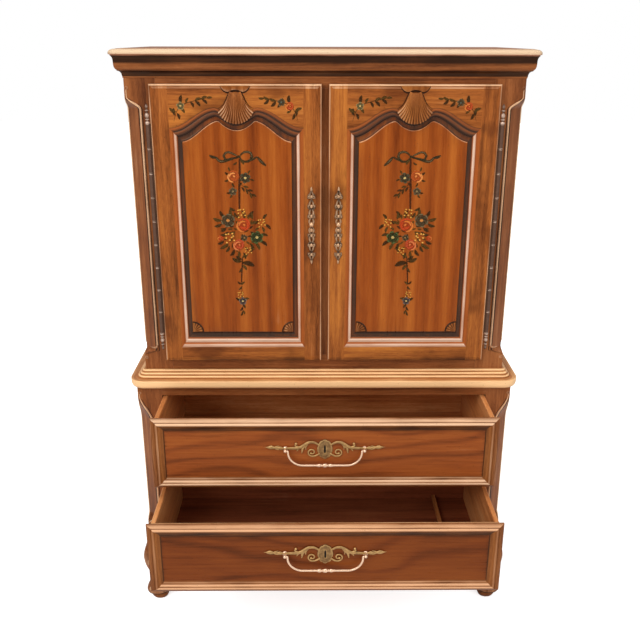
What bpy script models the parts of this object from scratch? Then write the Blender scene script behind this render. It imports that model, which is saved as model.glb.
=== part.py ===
"""Door chest: a two-door cabinet that stands on a case with two drawers and scroll feet.

Units are metres. X runs to the right, Y to the back and Z up. The floor is Z = 0.
All places are first worked out in the case's own frame, where Y = 0 is the front of the
upper case, and the empty door_chest then moves the whole piece so that the box round the
rest pose is centred on Y = 0. At rest the doors are shut and both drawers stand part open.
"""
import math

import bmesh
import bpy
from mathutils import Matrix, Vector

# Clearances
FIT_GAP = 0.0003
SLIDE_GAP = 0.0030
PIVOT_GAP = 0.0004

# Overall plan: half widths, fronts and the common back
LOWER_HALF_WIDTH = 0.545
UPPER_INSET = 0.025
UPPER_HALF_WIDTH = LOWER_HALF_WIDTH - UPPER_INSET
UPPER_FRONT = 0.0
LOWER_FRONT = -0.022
BACK = 0.455
BOARD = 0.022
BACK_PANEL = 0.012

# Heights from the floor
FOOT_HEIGHT = 0.230
APRON_ABOVE_FEET = 0.039
LOWER_OPENING_BOTTOM = FOOT_HEIGHT + APRON_ABOVE_FEET
OPENING_HEIGHT = 0.203
MIDDLE_RAIL = 0.042
TOP_RAIL = 0.028
WAIST_HEIGHT = 0.0473
UPPER_CASE_HEIGHT = 0.8652
TOP_BOARD = 0.0182
CORNICE_HEIGHT = 0.0538
LOWER_TOP = LOWER_OPENING_BOTTOM + 2 * OPENING_HEIGHT + MIDDLE_RAIL + TOP_RAIL
WAIST_TOP = LOWER_TOP + WAIST_HEIGHT
UPPER_TOP = WAIST_TOP + UPPER_CASE_HEIGHT
CORNICE_BOTTOM = UPPER_TOP - CORNICE_HEIGHT
TOTAL_HEIGHT = UPPER_TOP + TOP_BOARD

# Lower case
POST_DEPTH = 0.062
LOWER_POST_WIDTH = 0.071
DUST_PANEL = 0.014
GUIDE_HEIGHT = 0.025
GUIDE_WIDTH = 0.025

# Corner chamfers with curved stops
UPPER_CANT = 0.034
UPPER_CANT_ABOVE_WAIST = 0.0497
UPPER_CANT_UNDER_CORNICE = 0.0557
UPPER_CANT_BOTTOM = WAIST_TOP + UPPER_CANT_ABOVE_WAIST
UPPER_CANT_TOP = CORNICE_BOTTOM - UPPER_CANT_UNDER_CORNICE
LOWER_CANT = 0.032
LOWER_CANT_ABOVE_FEET = 0.062
LOWER_CANT_UNDER_WAIST = 0.055
LOWER_CANT_BOTTOM = FOOT_HEIGHT + LOWER_CANT_ABOVE_FEET
LOWER_CANT_TOP = LOWER_TOP - LOWER_CANT_UNDER_WAIST
CANT_STOP = 0.034

# Feet
KNEE_OUT = 0.0225
TOE_OUT = 0.0225
PAD_OUT = 0.010
KNEE_UNDER_CASE = 0.008
KNEE_TOP = FOOT_HEIGHT - KNEE_UNDER_CASE
KNEE_SLANT = 0.85
ANKLE = 0.077
TOE_SLANT = 1.5
TOE_CURL = 0.62
TOE_STEP = 0.001
PAD_HEIGHT = 0.026
PAD_ROUND = 0.70
ANKLE_WIDTH = 0.043
FOOT_PAD_WIDTH = 0.047
BACK_FOOT_DEPTH = 0.060

# Aprons between the feet
APRON_BOARD = 0.022
APRON_END_DROP = 0.062
APRON_RISE = 0.026

# Waist board
WAIST_CORNER = 0.026
WAIST_SETBACK = 0.003
WAIST_NOSE = 0.0200
WAIST_NOSE_HEIGHT = 0.0240
WAIST_NOSE_ROUND = 0.0155
WAIST_NOSE_EDGE = 0.0015
WAIST_REEDS = 3

# Cornice and top board
CORNICE_OUT = 0.0285
TOP_OVERHANG = 0.0315
TOP_CORNER = 0.020
TOP_EDGE_ROUND = 0.018
TOP_EDGE_FLAT = 0.006
TOP_EDGE_UNDERCUT = 0.004

# Upper case
UPPER_POST_DEPTH = 0.050
UPPER_POST_WIDTH = 0.080
STILE_EDGE = UPPER_HALF_WIDTH - UPPER_POST_WIDTH
UPPER_BOTTOM_RAIL = 0.0435
UPPER_TOP_RAIL = 0.0782
UPPER_RAIL_DEPTH = 0.022
FLOOR_BOARD = 0.018
SHELF = 0.018
SHELVES = ("lower_shelf", "upper_shelf")
CENTRE_STILE_WIDTH = 0.040
CENTRE_STILE_DEPTH = 0.016

# Doors
DOOR_FROM_CASE_SIDE = 0.066
DOOR_ABOVE_WAIST = 0.0337
DOOR_UNDER_CORNICE = 0.0137
DOOR_OUTER_EDGE = UPPER_HALF_WIDTH - DOOR_FROM_CASE_SIDE
DOOR_INNER_EDGE = 0.0092
DOOR_BOTTOM = WAIST_TOP + DOOR_ABOVE_WAIST
DOOR_HEIGHT = CORNICE_BOTTOM - DOOR_UNDER_CORNICE - DOOR_BOTTOM
DOOR_THICKNESS = 0.020
DOOR_BACK_GAP = 0.0015
DOOR_EDGE_ROUND = 0.003
DOOR_STILE = 0.0477
DOOR_BOTTOM_RAIL = 0.042
MOULDING_WIDTH = 0.034
ARCH_UNDER_TOP = 0.1104
ARCH_SHOULDER = DOOR_HEIGHT - ARCH_UNDER_TOP
ARCH_RISE = 0.0514
ARCH_PEAK = 0.055
ARCH_DIP = 0.0215
ARCH_CUSP = 0.25
PANEL_BOTTOM = 0.0885
PANEL_UNDER_TOP = 0.1480
PANEL_SHOULDER = DOOR_HEIGHT - PANEL_UNDER_TOP
PANEL_RISE = 0.0540
PANEL_PEAK = 0.047
PANEL_DIP = 0.0245
PANEL_CUSP = 1.0
CUSP_STRAIGHT = 0.25
PANEL_BACK = 0.0195
PANEL_FIELD_DEPTH = 0.005
GROOVE_DEPTH = 0.0100
GROOVE_START = 0.64
GROOVE_END = 0.93
MOULDING_BACK = 0.016
MOULDING_SETBACK = 0.0012
MOULDING_FACE = ((0.06, 0.0), (0.22, 0.0022), (0.36, 0.0062), (0.42, 0.0066),
                 (0.44, 0.0052), (0.52, 0.0042), (0.60, 0.0052))
ARCH_STEPS = 9

# Carved shell on each door
SHELL_UNDER_TOP = 0.104
SHELL_BOTTOM = DOOR_HEIGHT - SHELL_UNDER_TOP
SHELL_WIDTH = 0.092
SHELL_HEIGHT = 0.078
SHELL_RIBS = 9
SHELL_RELIEF = 0.0085
SHELL_RIB_DEPTH = 0.0025

# Hinges with finials
HINGE_FROM_DOOR = 0.007
HINGE_AXIS = DOOR_OUTER_EDGE + HINGE_FROM_DOOR
HINGE_AXIS_OUT = 0.001
HINGE_BARREL = 0.005
HINGE_PIN = 0.002
HINGE_LEAF = 0.0012
HINGE_LEAF_DEPTH = 0.0200
HINGE_ABOVE_DOOR_BOTTOM = 0.085
HINGE_UNDER_DOOR_TOP = 0.0984
HINGE_BOTTOM = DOOR_BOTTOM + HINGE_ABOVE_DOOR_BOTTOM
HINGE_LENGTH = DOOR_HEIGHT - HINGE_ABOVE_DOOR_BOTTOM - HINGE_UNDER_DOOR_TOP
HINGE_KNUCKLES = 9
FINIAL_LENGTH = 0.0510
ROUND_STEPS = 12

# Door pulls
DOOR_PULL_FROM_EDGE = 0.0273
DOOR_PULL_SHARE = 0.5174
DOOR_PULL_CENTRE = DOOR_BOTTOM + DOOR_PULL_SHARE * DOOR_HEIGHT
DOOR_PULL_LENGTH = 0.2135
DOOR_PULL_WIDTH = 0.0230
DOOR_PULL_PLATE = 0.0025
KNOB_ABOVE_CENTRE = 0.0067
KNOB_RADIUS = 0.0068
KNOB_REACH = 0.0220
KNOB_PROFILE = ((0.0, 1.0), (0.55, 0.97), (0.9, 0.84), (1.0, 0.68), (0.85, 0.50), (0.45, 0.38),
                (0.45, 0.20), (0.8, 0.08), (0.8, 0.0), (0.0, 0.0))

# Drawers
UPPER_DRAWER_OUT = 0.158
LOWER_DRAWER_OUT = 0.295
FRONT_LIP = 0.006
LIP_THICKNESS = 0.010
FRONT_BODY = 0.015
LIP_GAP = 0.0005
DRAWER_SIDE = 0.013
DRAWER_LENGTH = 0.420
DRAWER_BOTTOM = 0.006
BOTTOM_RAISE = 0.010
DIVIDER = 0.010
DIVIDER_HEIGHT = 0.012
DIVIDER_FROM_SIDE = 0.112
FIELD_DEPTH = 0.007
BORDER_SLOPE = ((0.0, 0.0052), (0.0115, 0.0010), (0.0125, 0.0024))
BORDER_BEAD = ((0.0145, 0.0005), (0.0178, 0.0), (0.0210, 0.0005), (0.0225, 0.0024))
BORDER_COVE = ((0.0295, 0.0042), (0.0310, 0.0050), (0.0360, 0.0060), (0.0375, FIELD_DEPTH))

# Drawer pulls
PULL_ABOVE_CENTRE = 0.0140
PULL_POST_SPACING = 0.219
PULL_POST_REACH = 0.0125
PULL_POST_NECK = 0.0028
PULL_BALL = 0.0046
PULL_POST_FOOT = 0.0069
PULL_PLATE = 0.0025
PULL_SPAN = 0.334
PULL_ARM = 0.0024
ESCUTCHEON_WIDTH = 0.0385
ESCUTCHEON_HEIGHT = 0.060
ESCUTCHEON_ABOVE = -0.001
BAIL_DROP = 0.045
BAIL_FLAT = 0.150
BAIL_STRAIGHT = 0.12
BAIL_WIRE = 0.0023
BAIL_BEADS = ((0.0215, BAIL_WIRE), (0.0200, 0.0036), (0.0160, 0.0038), (0.0135, BAIL_WIRE),
              (0.0095, BAIL_WIRE), (0.0075, 0.0036), (0.0035, 0.0044))

# Places worked out from the sizes above
OPENING_HALF = LOWER_HALF_WIDTH - LOWER_POST_WIDTH
DRAWER_HALF = OPENING_HALF - SLIDE_GAP
DIVIDER_PLACE = DRAWER_HALF - DIVIDER_FROM_SIDE
UPPER_OPENING_BOTTOM = LOWER_OPENING_BOTTOM + OPENING_HEIGHT + MIDDLE_RAIL
POST_BACK = LOWER_FRONT + POST_DEPTH
BACK_INSIDE = BACK - BACK_PANEL
DOOR_WIDTH = DOOR_OUTER_EDGE - DOOR_INNER_EDGE
DOOR_CENTRE = (DOOR_OUTER_EDGE + DOOR_INNER_EDGE) / 2
DOOR_BACK = UPPER_FRONT - DOOR_BACK_GAP
DOOR_FRONT = DOOR_BACK - DOOR_THICKNESS
HINGE_Y = DOOR_FRONT - HINGE_AXIS_OUT
DRAWER_FACE = LOWER_FRONT - LIP_GAP - LIP_THICKNESS
FIELD_FACE = DRAWER_FACE + FIELD_DEPTH
PULL_AXIS_Y = FIELD_FACE - PULL_PLATE - PULL_POST_REACH
REST_FRONT = PULL_AXIS_Y - PULL_BALL - LOWER_DRAWER_OUT
CENTRE_SHIFT = -(REST_FRONT + BACK) / 2

# Colours: base colour, roughness and metallic
COLOURS = {
    "frame_wood": ((0.42, 0.19, 0.055), 0.38, 0.0),
    "case_wood": ((0.26, 0.10, 0.035), 0.40, 0.0),
    "panel_wood": ((0.38, 0.13, 0.035), 0.34, 0.0),
    "edge_wood": ((0.62, 0.40, 0.19), 0.42, 0.0),
    "dark_groove": ((0.055, 0.035, 0.025), 0.45, 0.0),
    "drawer_wood": ((0.55, 0.30, 0.12), 0.50, 0.0),
    "plain_wood": ((0.33, 0.17, 0.08), 0.60, 0.0),
    "antique_brass": ((0.35, 0.25, 0.12), 0.38, 0.9),
    "dark_bronze": ((0.10, 0.07, 0.045), 0.42, 0.85),
}


def clear_scene():
    """Remove whatever the start-up file holds."""
    for item in list(bpy.data.objects):
        bpy.data.objects.remove(item)


def make_material(name, colour_name):
    """One Principled material in one of the object's colours."""
    colour, roughness, metallic = COLOURS[colour_name]
    material = bpy.data.materials.new(name)
    material.use_nodes = True
    shader = material.node_tree.nodes["Principled BSDF"]
    shader.inputs["Base Color"].default_value = (*colour, 1.0)
    shader.inputs["Roughness"].default_value = roughness
    shader.inputs["Metallic"].default_value = metallic
    return material


def make_group(name, location, parent=None):
    """An empty that carries the pieces of one rigid body."""
    empty = bpy.data.objects.new(name, None)
    parts_collection().objects.link(empty)
    empty.location = location
    empty.parent = parent
    return empty


def parts_collection():
    """The collection that holds every piece."""
    name = "door_chest_parts"
    if name not in bpy.data.collections:
        collection = bpy.data.collections.new(name)
        bpy.context.scene.collection.children.link(collection)
    return bpy.data.collections[name]


def make_object(name, mesh):
    """Link a mesh as an object in the parts collection."""
    piece = bpy.data.objects.new(name, mesh)
    parts_collection().objects.link(piece)
    return piece


def finish(piece, group, home, colour_name, smooth_angle=0.6):
    """Give a piece its material and smooth shading, and hang it on its group."""
    piece.data.materials.clear()
    piece.data.materials.append(make_material(piece.name, colour_name))
    piece.data.shade_smooth()
    piece.data.set_sharp_from_angle(angle=smooth_angle)
    piece.parent = group
    piece.location = [-value for value in home]
    return piece


def mesh_from(work, name):
    """Close a bmesh into a mesh with its faces pointing out."""
    bmesh.ops.recalc_face_normals(work, faces=work.faces)
    if work.calc_volume(signed=True) < 0:
        bmesh.ops.reverse_faces(work, faces=work.faces)
    mesh = bpy.data.meshes.new(name)
    work.to_mesh(mesh)
    work.free()
    return mesh


def box(name, x_range, y_range, z_range):
    """A board between two planes on each axis."""
    work = bmesh.new()
    bmesh.ops.create_cube(work, size=1.0)
    ranges = (x_range, y_range, z_range)
    sizes = [max(pair) - min(pair) for pair in ranges]
    centres = [sum(pair) / 2 for pair in ranges]
    bmesh.ops.scale(work, vec=sizes, verts=work.verts)
    bmesh.ops.translate(work, vec=centres, verts=work.verts)
    return make_object(name, mesh_from(work, name))


def to_space(across, up, along, axis):
    """Turn flat outline values and a depth into a point, for the depth axis named."""
    if axis == "X":
        return (along, across, up)
    if axis == "Y":
        return (across, along, up)
    return (across, up, along)


def extruded(name, outlines, depth_range, axis):
    """A flat outline, with any holes, extruded between two planes on one axis."""
    curve = bpy.data.curves.new(name, "CURVE")
    curve.dimensions = "2D"
    curve.fill_mode = "BOTH"
    curve.extrude = abs(depth_range[1] - depth_range[0]) / 2
    for outline in outlines:
        spline = curve.splines.new("POLY")
        spline.points.add(len(outline) - 1)
        for point, (across, up) in zip(spline.points, outline):
            point.co = (across, up, 0.0, 1.0)
        spline.use_cyclic_u = True
    work = bmesh.new()
    work.from_mesh(curve_mesh(name, curve))
    middle = sum(depth_range) / 2
    for vertex in work.verts:
        vertex.co = to_space(vertex.co.x, vertex.co.y, vertex.co.z + middle, axis)
    return make_object(name, mesh_from(work, name))


def curve_mesh(name, curve):
    """The welded mesh of a curve, which is then removed."""
    holder = bpy.data.objects.new(name + "_curve", curve)
    bpy.context.scene.collection.objects.link(holder)
    graph = bpy.context.evaluated_depsgraph_get()
    mesh = bpy.data.meshes.new_from_object(holder.evaluated_get(graph))
    bpy.data.objects.remove(holder)
    work = bmesh.new()
    work.from_mesh(mesh)
    bmesh.ops.remove_doubles(work, verts=work.verts, dist=0.00001)
    work.to_mesh(mesh)
    work.free()
    return mesh


def tube(name, points, radius, scales=None, resolution=1):
    """A round rod along points, thicker or thinner where scales say so."""
    curve = bpy.data.curves.new(name, "CURVE")
    curve.dimensions = "3D"
    curve.bevel_depth = radius
    curve.bevel_resolution = resolution
    curve.use_fill_caps = True
    spline = curve.splines.new("POLY")
    spline.points.add(len(points) - 1)
    for index, place in enumerate(points):
        spline.points[index].co = (*place, 1.0)
        if scales:
            spline.points[index].radius = scales[index]
    work = bmesh.new()
    work.from_mesh(curve_mesh(name, curve))
    return make_object(name, mesh_from(work, name))


def stacked(name, rings):
    """A solid through rings with equal counts of points, closed by its first and last."""
    work = bmesh.new()
    layers = [[work.verts.new(place) for place in ring] for ring in rings]
    for low, high in zip(layers, layers[1:]):
        join_rings(work, low, high)
    work.faces.new(layers[0])
    work.faces.new(layers[-1])
    return make_object(name, mesh_from(work, name))


def ring_solid(name, rings):
    """A hoop through rings, where the last ring joins the first again."""
    work = bmesh.new()
    layers = [[work.verts.new(place) for place in ring] for ring in rings]
    for low, high in zip(layers, layers[1:] + layers[:1]):
        join_rings(work, low, high)
    return make_object(name, mesh_from(work, name))


def join_rings(work, low, high):
    """Quads between two closed rings."""
    count = len(low)
    for index in range(count):
        after = (index + 1) % count
        work.faces.new((low[index], low[after], high[after], high[index]))


def turned(name, profile, centre, axis="Z"):
    """A turned solid: a profile of (radius, height) pairs, top first, round an axis."""
    mesh = bpy.data.meshes.new(name)
    points = [(radius, 0.0, height) for radius, height in profile]
    mesh.from_pydata(points, [(i, i + 1) for i in range(len(points) - 1)], [])
    holder = make_object(name, mesh)
    screw = holder.modifiers.new("Turn", "SCREW")
    screw.steps = ROUND_STEPS
    screw.render_steps = ROUND_STEPS
    screw.use_merge_vertices = True
    screw.merge_threshold = 0.00001
    graph = bpy.context.evaluated_depsgraph_get()
    solid = bpy.data.meshes.new_from_object(holder.evaluated_get(graph))
    bpy.data.objects.remove(holder)
    work = bmesh.new()
    work.from_mesh(solid)
    if axis == "Y":
        bmesh.ops.rotate(work, matrix=Matrix.Rotation(math.pi / 2, 3, "X"), verts=work.verts)
    if axis == "X":
        bmesh.ops.rotate(work, matrix=Matrix.Rotation(math.pi / 2, 3, "Y"), verts=work.verts)
    bmesh.ops.translate(work, vec=centre, verts=work.verts)
    return make_object(name, mesh_from(work, name))


def rod(name, radius, length, centre, axis="Z"):
    """A plain cylinder with its middle at centre."""
    half = length / 2
    return turned(name, [(0.0, half), (radius, half), (radius, -half), (0.0, -half)], centre, axis)


def combine(piece, tool, operation):
    """Join or cut a piece with a tool, which is then removed."""
    modifier = piece.modifiers.new("Combine", "BOOLEAN")
    modifier.operation = operation
    modifier.object = tool
    modifier.solver = "EXACT"
    graph = bpy.context.evaluated_depsgraph_get()
    mesh = bpy.data.meshes.new_from_object(piece.evaluated_get(graph))
    piece.modifiers.clear()
    piece.data = mesh
    bpy.data.objects.remove(tool)
    return piece


def soften(piece, width, segments=1):
    """Round the sharp edges of a piece."""
    bevel = piece.modifiers.new("Round", "BEVEL")
    bevel.width = width
    bevel.segments = segments
    bevel.limit_method = "ANGLE"
    bevel.angle_limit = math.radians(50)
    return piece


def soften_rim(piece, width, corners):
    """Round only the edges that join the given corner points."""
    mesh = piece.data
    weights = mesh.attributes.new("bevel_weight_edge", "FLOAT", "EDGE")
    on_rim = []
    for vertex in mesh.vertices:
        nearest = min((vertex.co - Vector(corner)).length for corner in corners)
        on_rim.append(nearest < width / 10)
    for edge in mesh.edges:
        first, second = edge.vertices
        weights.data[edge.index].value = 1.0 if on_rim[first] and on_rim[second] else 0.0
    bevel = piece.modifiers.new("Round", "BEVEL")
    bevel.width = width
    bevel.segments = 2
    bevel.limit_method = "WEIGHT"
    return piece


def half_wave(fraction):
    """A smooth step from 0 to 1."""
    return (1 - math.cos(math.pi * fraction)) / 2


def foot_outward(height):
    """How far a foot's outline stands beyond the case: a knee, a toe scroll and a round pad."""
    if height >= KNEE_TOP:
        return 0.0
    if height >= ANKLE:
        knee = (KNEE_TOP - height) / (KNEE_TOP - ANKLE)
        return KNEE_OUT * math.sin(math.pi * knee ** KNEE_SLANT)
    if height > PAD_HEIGHT:
        toe = (ANKLE - height) / (ANKLE - PAD_HEIGHT)
        return TOE_OUT * math.sin(math.pi * TOE_CURL * toe ** TOE_SLANT)
    return PAD_OUT * pad_swell(height)


def pad_swell(height):
    """The round edge of a foot's pad: 1 at half its height and less at its top and bottom."""
    return math.cos(math.pi * PAD_ROUND * (height / PAD_HEIGHT - 0.5))


def foot_inward(height, width):
    """Distance from the case's edge to the inner outline of a foot."""
    apron_edge = FOOT_HEIGHT - APRON_END_DROP
    if height >= apron_edge:
        return width
    if height >= ANKLE:
        fall = half_wave((apron_edge - height) / (apron_edge - ANKLE))
        return width + (ANKLE_WIDTH - width) * fall
    if height > PAD_HEIGHT:
        return ANKLE_WIDTH
    return FOOT_PAD_WIDTH + PAD_OUT * (pad_swell(height) - 1)


def foot_levels():
    """Heights at which a foot's outline has a point, floor first."""
    pad_steps = 4
    toe_steps = 7
    knee_steps = 8
    toe_start = PAD_HEIGHT + TOE_STEP
    levels = [PAD_HEIGHT * i / pad_steps for i in range(pad_steps + 1)]
    levels += [toe_start + (ANKLE - toe_start) * i / toe_steps for i in range(toe_steps)]
    levels += [ANKLE + (KNEE_TOP - ANKLE) * i / knee_steps for i in range(knee_steps + 1)]
    return levels + [FOOT_HEIGHT]


def foot_outline(edge, direction, width):
    """A foot's flat outline from a case edge, whose outside lies in the given direction."""
    levels = foot_levels()
    outer = [(edge + direction * foot_outward(level), level) for level in levels]
    inner = [(edge - direction * foot_inward(level, width), level) for level in levels]
    return outer + inner[::-1]


def build_feet(root):
    """Four scroll feet: the front pair are shaped on two faces, the back pair on one."""
    for side, side_name in ((-1, "left"), (1, "right")):
        front_view = foot_outline(side * LOWER_HALF_WIDTH, side, LOWER_POST_WIDTH)
        side_view = foot_outline(LOWER_FRONT, -1, POST_DEPTH)
        reach = LOWER_POST_WIDTH + 2 * TOE_OUT
        edge = side * LOWER_HALF_WIDTH
        depth_range = (LOWER_FRONT - reach, LOWER_FRONT + reach)
        foot = extruded(f"front_{side_name}_foot", [front_view], depth_range, "Y")
        shape = extruded("side_view", [side_view], (edge - reach, edge + reach), "X")
        combine(foot, shape, "INTERSECT")
        finish(foot, root, (0, 0, 0), "case_wood")
        back = extruded(f"back_{side_name}_foot", [front_view], (BACK - BACK_FOOT_DEPTH, BACK), "Y")
        finish(back, root, (0, 0, 0), "case_wood")


def apron_outline(half_length, top, bottom, rise):
    """An apron's outline: a flat stretch at each end and a double curve up to the middle."""
    steps = 8
    end_flat = 0.12
    span = half_length * (1 - end_flat)
    left = []
    for index in range(steps + 1):
        fraction = index / steps
        left.append((-span * (1 - fraction), bottom + rise * math.sin(fraction * math.pi / 2) ** 2))
    right = [(-across, up) for across, up in left[-2::-1]]
    lower_edge = [(-half_length, bottom)] + left + right + [(half_length, bottom)]
    return lower_edge + [(half_length, top), (-half_length, top)]


def build_aprons(root):
    """Shaped boards between the feet, on all four faces."""
    bottom = FOOT_HEIGHT - APRON_END_DROP
    half = OPENING_HALF - FIT_GAP
    front = [apron_outline(half, LOWER_OPENING_BOTTOM, bottom, APRON_RISE)]
    piece = extruded("front_apron", front, (LOWER_FRONT, LOWER_FRONT + APRON_BOARD), "Y")
    finish(piece, root, (0, 0, 0), "case_wood")
    low = POST_BACK + FIT_GAP
    high = BACK - BACK_FOOT_DEPTH - FIT_GAP
    middle = (low + high) / 2
    outline = apron_outline((high - low) / 2, FOOT_HEIGHT, bottom, APRON_RISE)
    side_view = [(across + middle, up) for across, up in outline]
    for side, side_name in ((-1, "left"), (1, "right")):
        outer = side * LOWER_HALF_WIDTH
        piece = extruded(f"{side_name}_apron", [side_view], (outer - side * APRON_BOARD, outer), "X")
        finish(piece, root, (0, 0, 0), "case_wood")
    back_half = LOWER_HALF_WIDTH - LOWER_POST_WIDTH - FIT_GAP
    piece = box("back_apron", (-back_half, back_half), (BACK - APRON_BOARD, BACK), (bottom, FOOT_HEIGHT))
    finish(piece, root, (0, 0, 0), "plain_wood")


def cant_cutter(side, corner_x, corner_y, cant, bottom, top):
    """The wedge that chamfers a post between two heights, with a hollow curve at each end."""
    depth = cant / math.sqrt(2)
    outside = depth + CANT_STOP
    steps = 5
    curve = []
    for index in range(steps + 1):
        angle = math.pi / 2 * index / steps
        curve.append((depth * math.sin(angle) - depth, CANT_STOP * (1 - math.cos(angle))))
    lower_end = [(-across - depth, bottom + up) for across, up in curve]
    upper_end = [(across, top + bottom - up) for across, up in lower_end[::-1]]
    outline = lower_end + upper_end + [(outside, top), (outside, bottom)]
    tool = extruded("cant", [[(across, up) for across, up in outline]], (-cant * 2, cant * 2), "Y")
    turn = Matrix.Rotation(-math.pi / 4 if side > 0 else -3 * math.pi / 4, 4, "Z")
    tool.data.transform(Matrix.Translation((corner_x, corner_y, 0.0)) @ turn)
    return tool


def build_lower_case(root):
    """Posts, sides, back, rails and dust panels of the case with the drawers."""
    home = (0, 0, 0)
    for side, side_name in ((-1, "left"), (1, "right")):
        outer = side * LOWER_HALF_WIDTH
        post = box(f"lower_{side_name}_post", (side * OPENING_HALF, outer), (LOWER_FRONT, POST_BACK),
                   (FOOT_HEIGHT + FIT_GAP, LOWER_TOP))
        tool = cant_cutter(side, outer, LOWER_FRONT, LOWER_CANT, LOWER_CANT_BOTTOM, LOWER_CANT_TOP)
        finish(combine(post, tool, "DIFFERENCE"), root, home, "case_wood")
        panel = box(f"lower_{side_name}_side", (outer - side * BOARD, outer), (POST_BACK + FIT_GAP, BACK),
                    (FOOT_HEIGHT + FIT_GAP, LOWER_TOP))
        finish(panel, root, home, "case_wood")
    inside = LOWER_HALF_WIDTH - BOARD - FIT_GAP
    back = box("lower_back", (-inside, inside), (BACK_INSIDE, BACK), (FOOT_HEIGHT + FIT_GAP, LOWER_TOP))
    finish(back, root, home, "plain_wood")
    half = OPENING_HALF - FIT_GAP
    rail_top = UPPER_OPENING_BOTTOM
    rail = box("drawer_rail", (-half, half), (LOWER_FRONT, POST_BACK), (rail_top - MIDDLE_RAIL, rail_top))
    finish(rail, root, home, "case_wood")
    rail = box("lower_top_rail", (-half, half), (LOWER_FRONT, POST_BACK), (LOWER_TOP - TOP_RAIL, LOWER_TOP))
    finish(rail, root, home, "case_wood")
    build_dust_panel("upper_dust_panel", rail_top, 0.0, inside, root)
    tongue = POST_DEPTH - APRON_BOARD - FIT_GAP
    build_dust_panel("lower_dust_panel", LOWER_OPENING_BOTTOM, tongue, inside, root)


def build_dust_panel(name, top, tongue, half_width, root):
    """A board under a drawer, with guide strips and any tongue that reaches between the posts."""
    guide = DRAWER_HALF + SLIDE_GAP
    outline = [(-half_width, top - DUST_PANEL), (half_width, top - DUST_PANEL), (half_width, top)]
    outline += [(guide + GUIDE_WIDTH, top), (guide + GUIDE_WIDTH, top + GUIDE_HEIGHT)]
    outline += [(guide, top + GUIDE_HEIGHT), (guide, top)]
    outline += [(-across, up) for across, up in outline[:2:-1]]
    outline += [(-half_width, top)]
    front = POST_BACK + FIT_GAP
    piece = extruded(name, [outline], (front, BACK_INSIDE - FIT_GAP), "Y")
    if tongue > 0:
        half = OPENING_HALF - FIT_GAP
        depth_range = (POST_BACK - tongue, front + DUST_PANEL)
        board = box("tongue", (-half, half), depth_range, (top - DUST_PANEL, top))
        combine(piece, board, "UNION")
    finish(piece, root, (0, 0, 0), "plain_wood")


def plan_ring(half_width, front, back, radius, level):
    """A board's plan at one level: round front corners and square back corners."""
    steps = 5
    ring = [(-half_width, back, level)]
    for side in (-1, 1):
        for index in range(steps + 1):
            angle = math.pi / 2 * index / steps
            if side < 0:
                across = -half_width + radius * (1 - math.cos(angle))
                along = front + radius * (1 - math.sin(angle))
            else:
                across = half_width - radius * (1 - math.sin(angle))
                along = front + radius * (1 - math.cos(angle))
            ring.append((across, along, level))
    return ring + [(half_width, back, level)]


def build_waist(root):
    """The moulded board between the cases: a thick nose, round below, under three small steps."""
    low = LOWER_TOP + FIT_GAP
    high = WAIST_TOP - FIT_GAP
    nose_top = low + WAIST_NOSE_HEIGHT
    section = [(-WAIST_SETBACK, low)]
    nose_steps = 5
    for index in range(nose_steps + 1):
        angle = math.pi / 2 * index / nose_steps
        section.append((WAIST_NOSE * math.sin(angle), low + WAIST_NOSE_ROUND * (1 - math.cos(angle))))
    section += [(WAIST_NOSE, nose_top - WAIST_NOSE_EDGE), (WAIST_NOSE - WAIST_NOSE_EDGE, nose_top)]
    inset = UPPER_INSET - WAIST_NOSE_EDGE
    reed_height = (high - nose_top) / WAIST_REEDS
    reed_depth = inset / (WAIST_REEDS + 0.5)
    for index in range(WAIST_REEDS):
        start = -reed_depth * (index + 0.5)
        section.append((start, nose_top + reed_height * (index + 0.1)))
        section.append((start, nose_top + reed_height * (index + 0.7)))
        section.append((start - 0.3 * reed_depth, nose_top + reed_height * (index + 1.0)))
    rings = []
    for offset, level in section:
        radius = WAIST_CORNER + offset
        rings.append(plan_ring(LOWER_HALF_WIDTH + offset, LOWER_FRONT - offset, BACK, radius, level))
    finish(stacked("waist_board", rings), root, (0, 0, 0), "edge_wood")


def hollow(low, high):
    """A quarter hollow between two points of a moulding: it climbs first and turns outwards."""
    steps = 4
    points = []
    for index in range(steps + 1):
        angle = math.pi / 2 * index / steps
        points.append((low[0] + (high[0] - low[0]) * (1 - math.cos(angle)),
                       low[1] + (high[1] - low[1]) * math.sin(angle)))
    return points


def build_cornice(root):
    """The cornice moulding on three sides: a hollow, a fillet, a round and a hollow under the top."""
    shares = [(0.07, 0.0)]
    shares += hollow((0.105, 0.02), (0.474, 0.27))
    shares += [(0.526, 0.29), (0.526, 0.31)]
    shares += [(0.58, 0.33), (0.72, 0.42), (0.79, 0.55), (0.825, 0.70)]
    shares += hollow((0.825, 0.72), (1.0, 1.0))
    section = [(FIT_GAP, CORNICE_BOTTOM)]
    section += [(CORNICE_OUT * out, CORNICE_BOTTOM + CORNICE_HEIGHT * up) for out, up in shares]
    section += [(FIT_GAP, UPPER_TOP)]
    stations = [(-1, BACK), (-1, None), (1, None), (1, BACK)]
    sections = []
    for side, depth in stations:
        ring = []
        for offset, level in section:
            along = UPPER_FRONT - offset if depth is None else depth
            ring.append((side * (UPPER_HALF_WIDTH + offset), along, level))
        sections.append(ring)
    finish(stacked("cornice_moulding", sections), root, (0, 0, 0), "case_wood")


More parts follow.
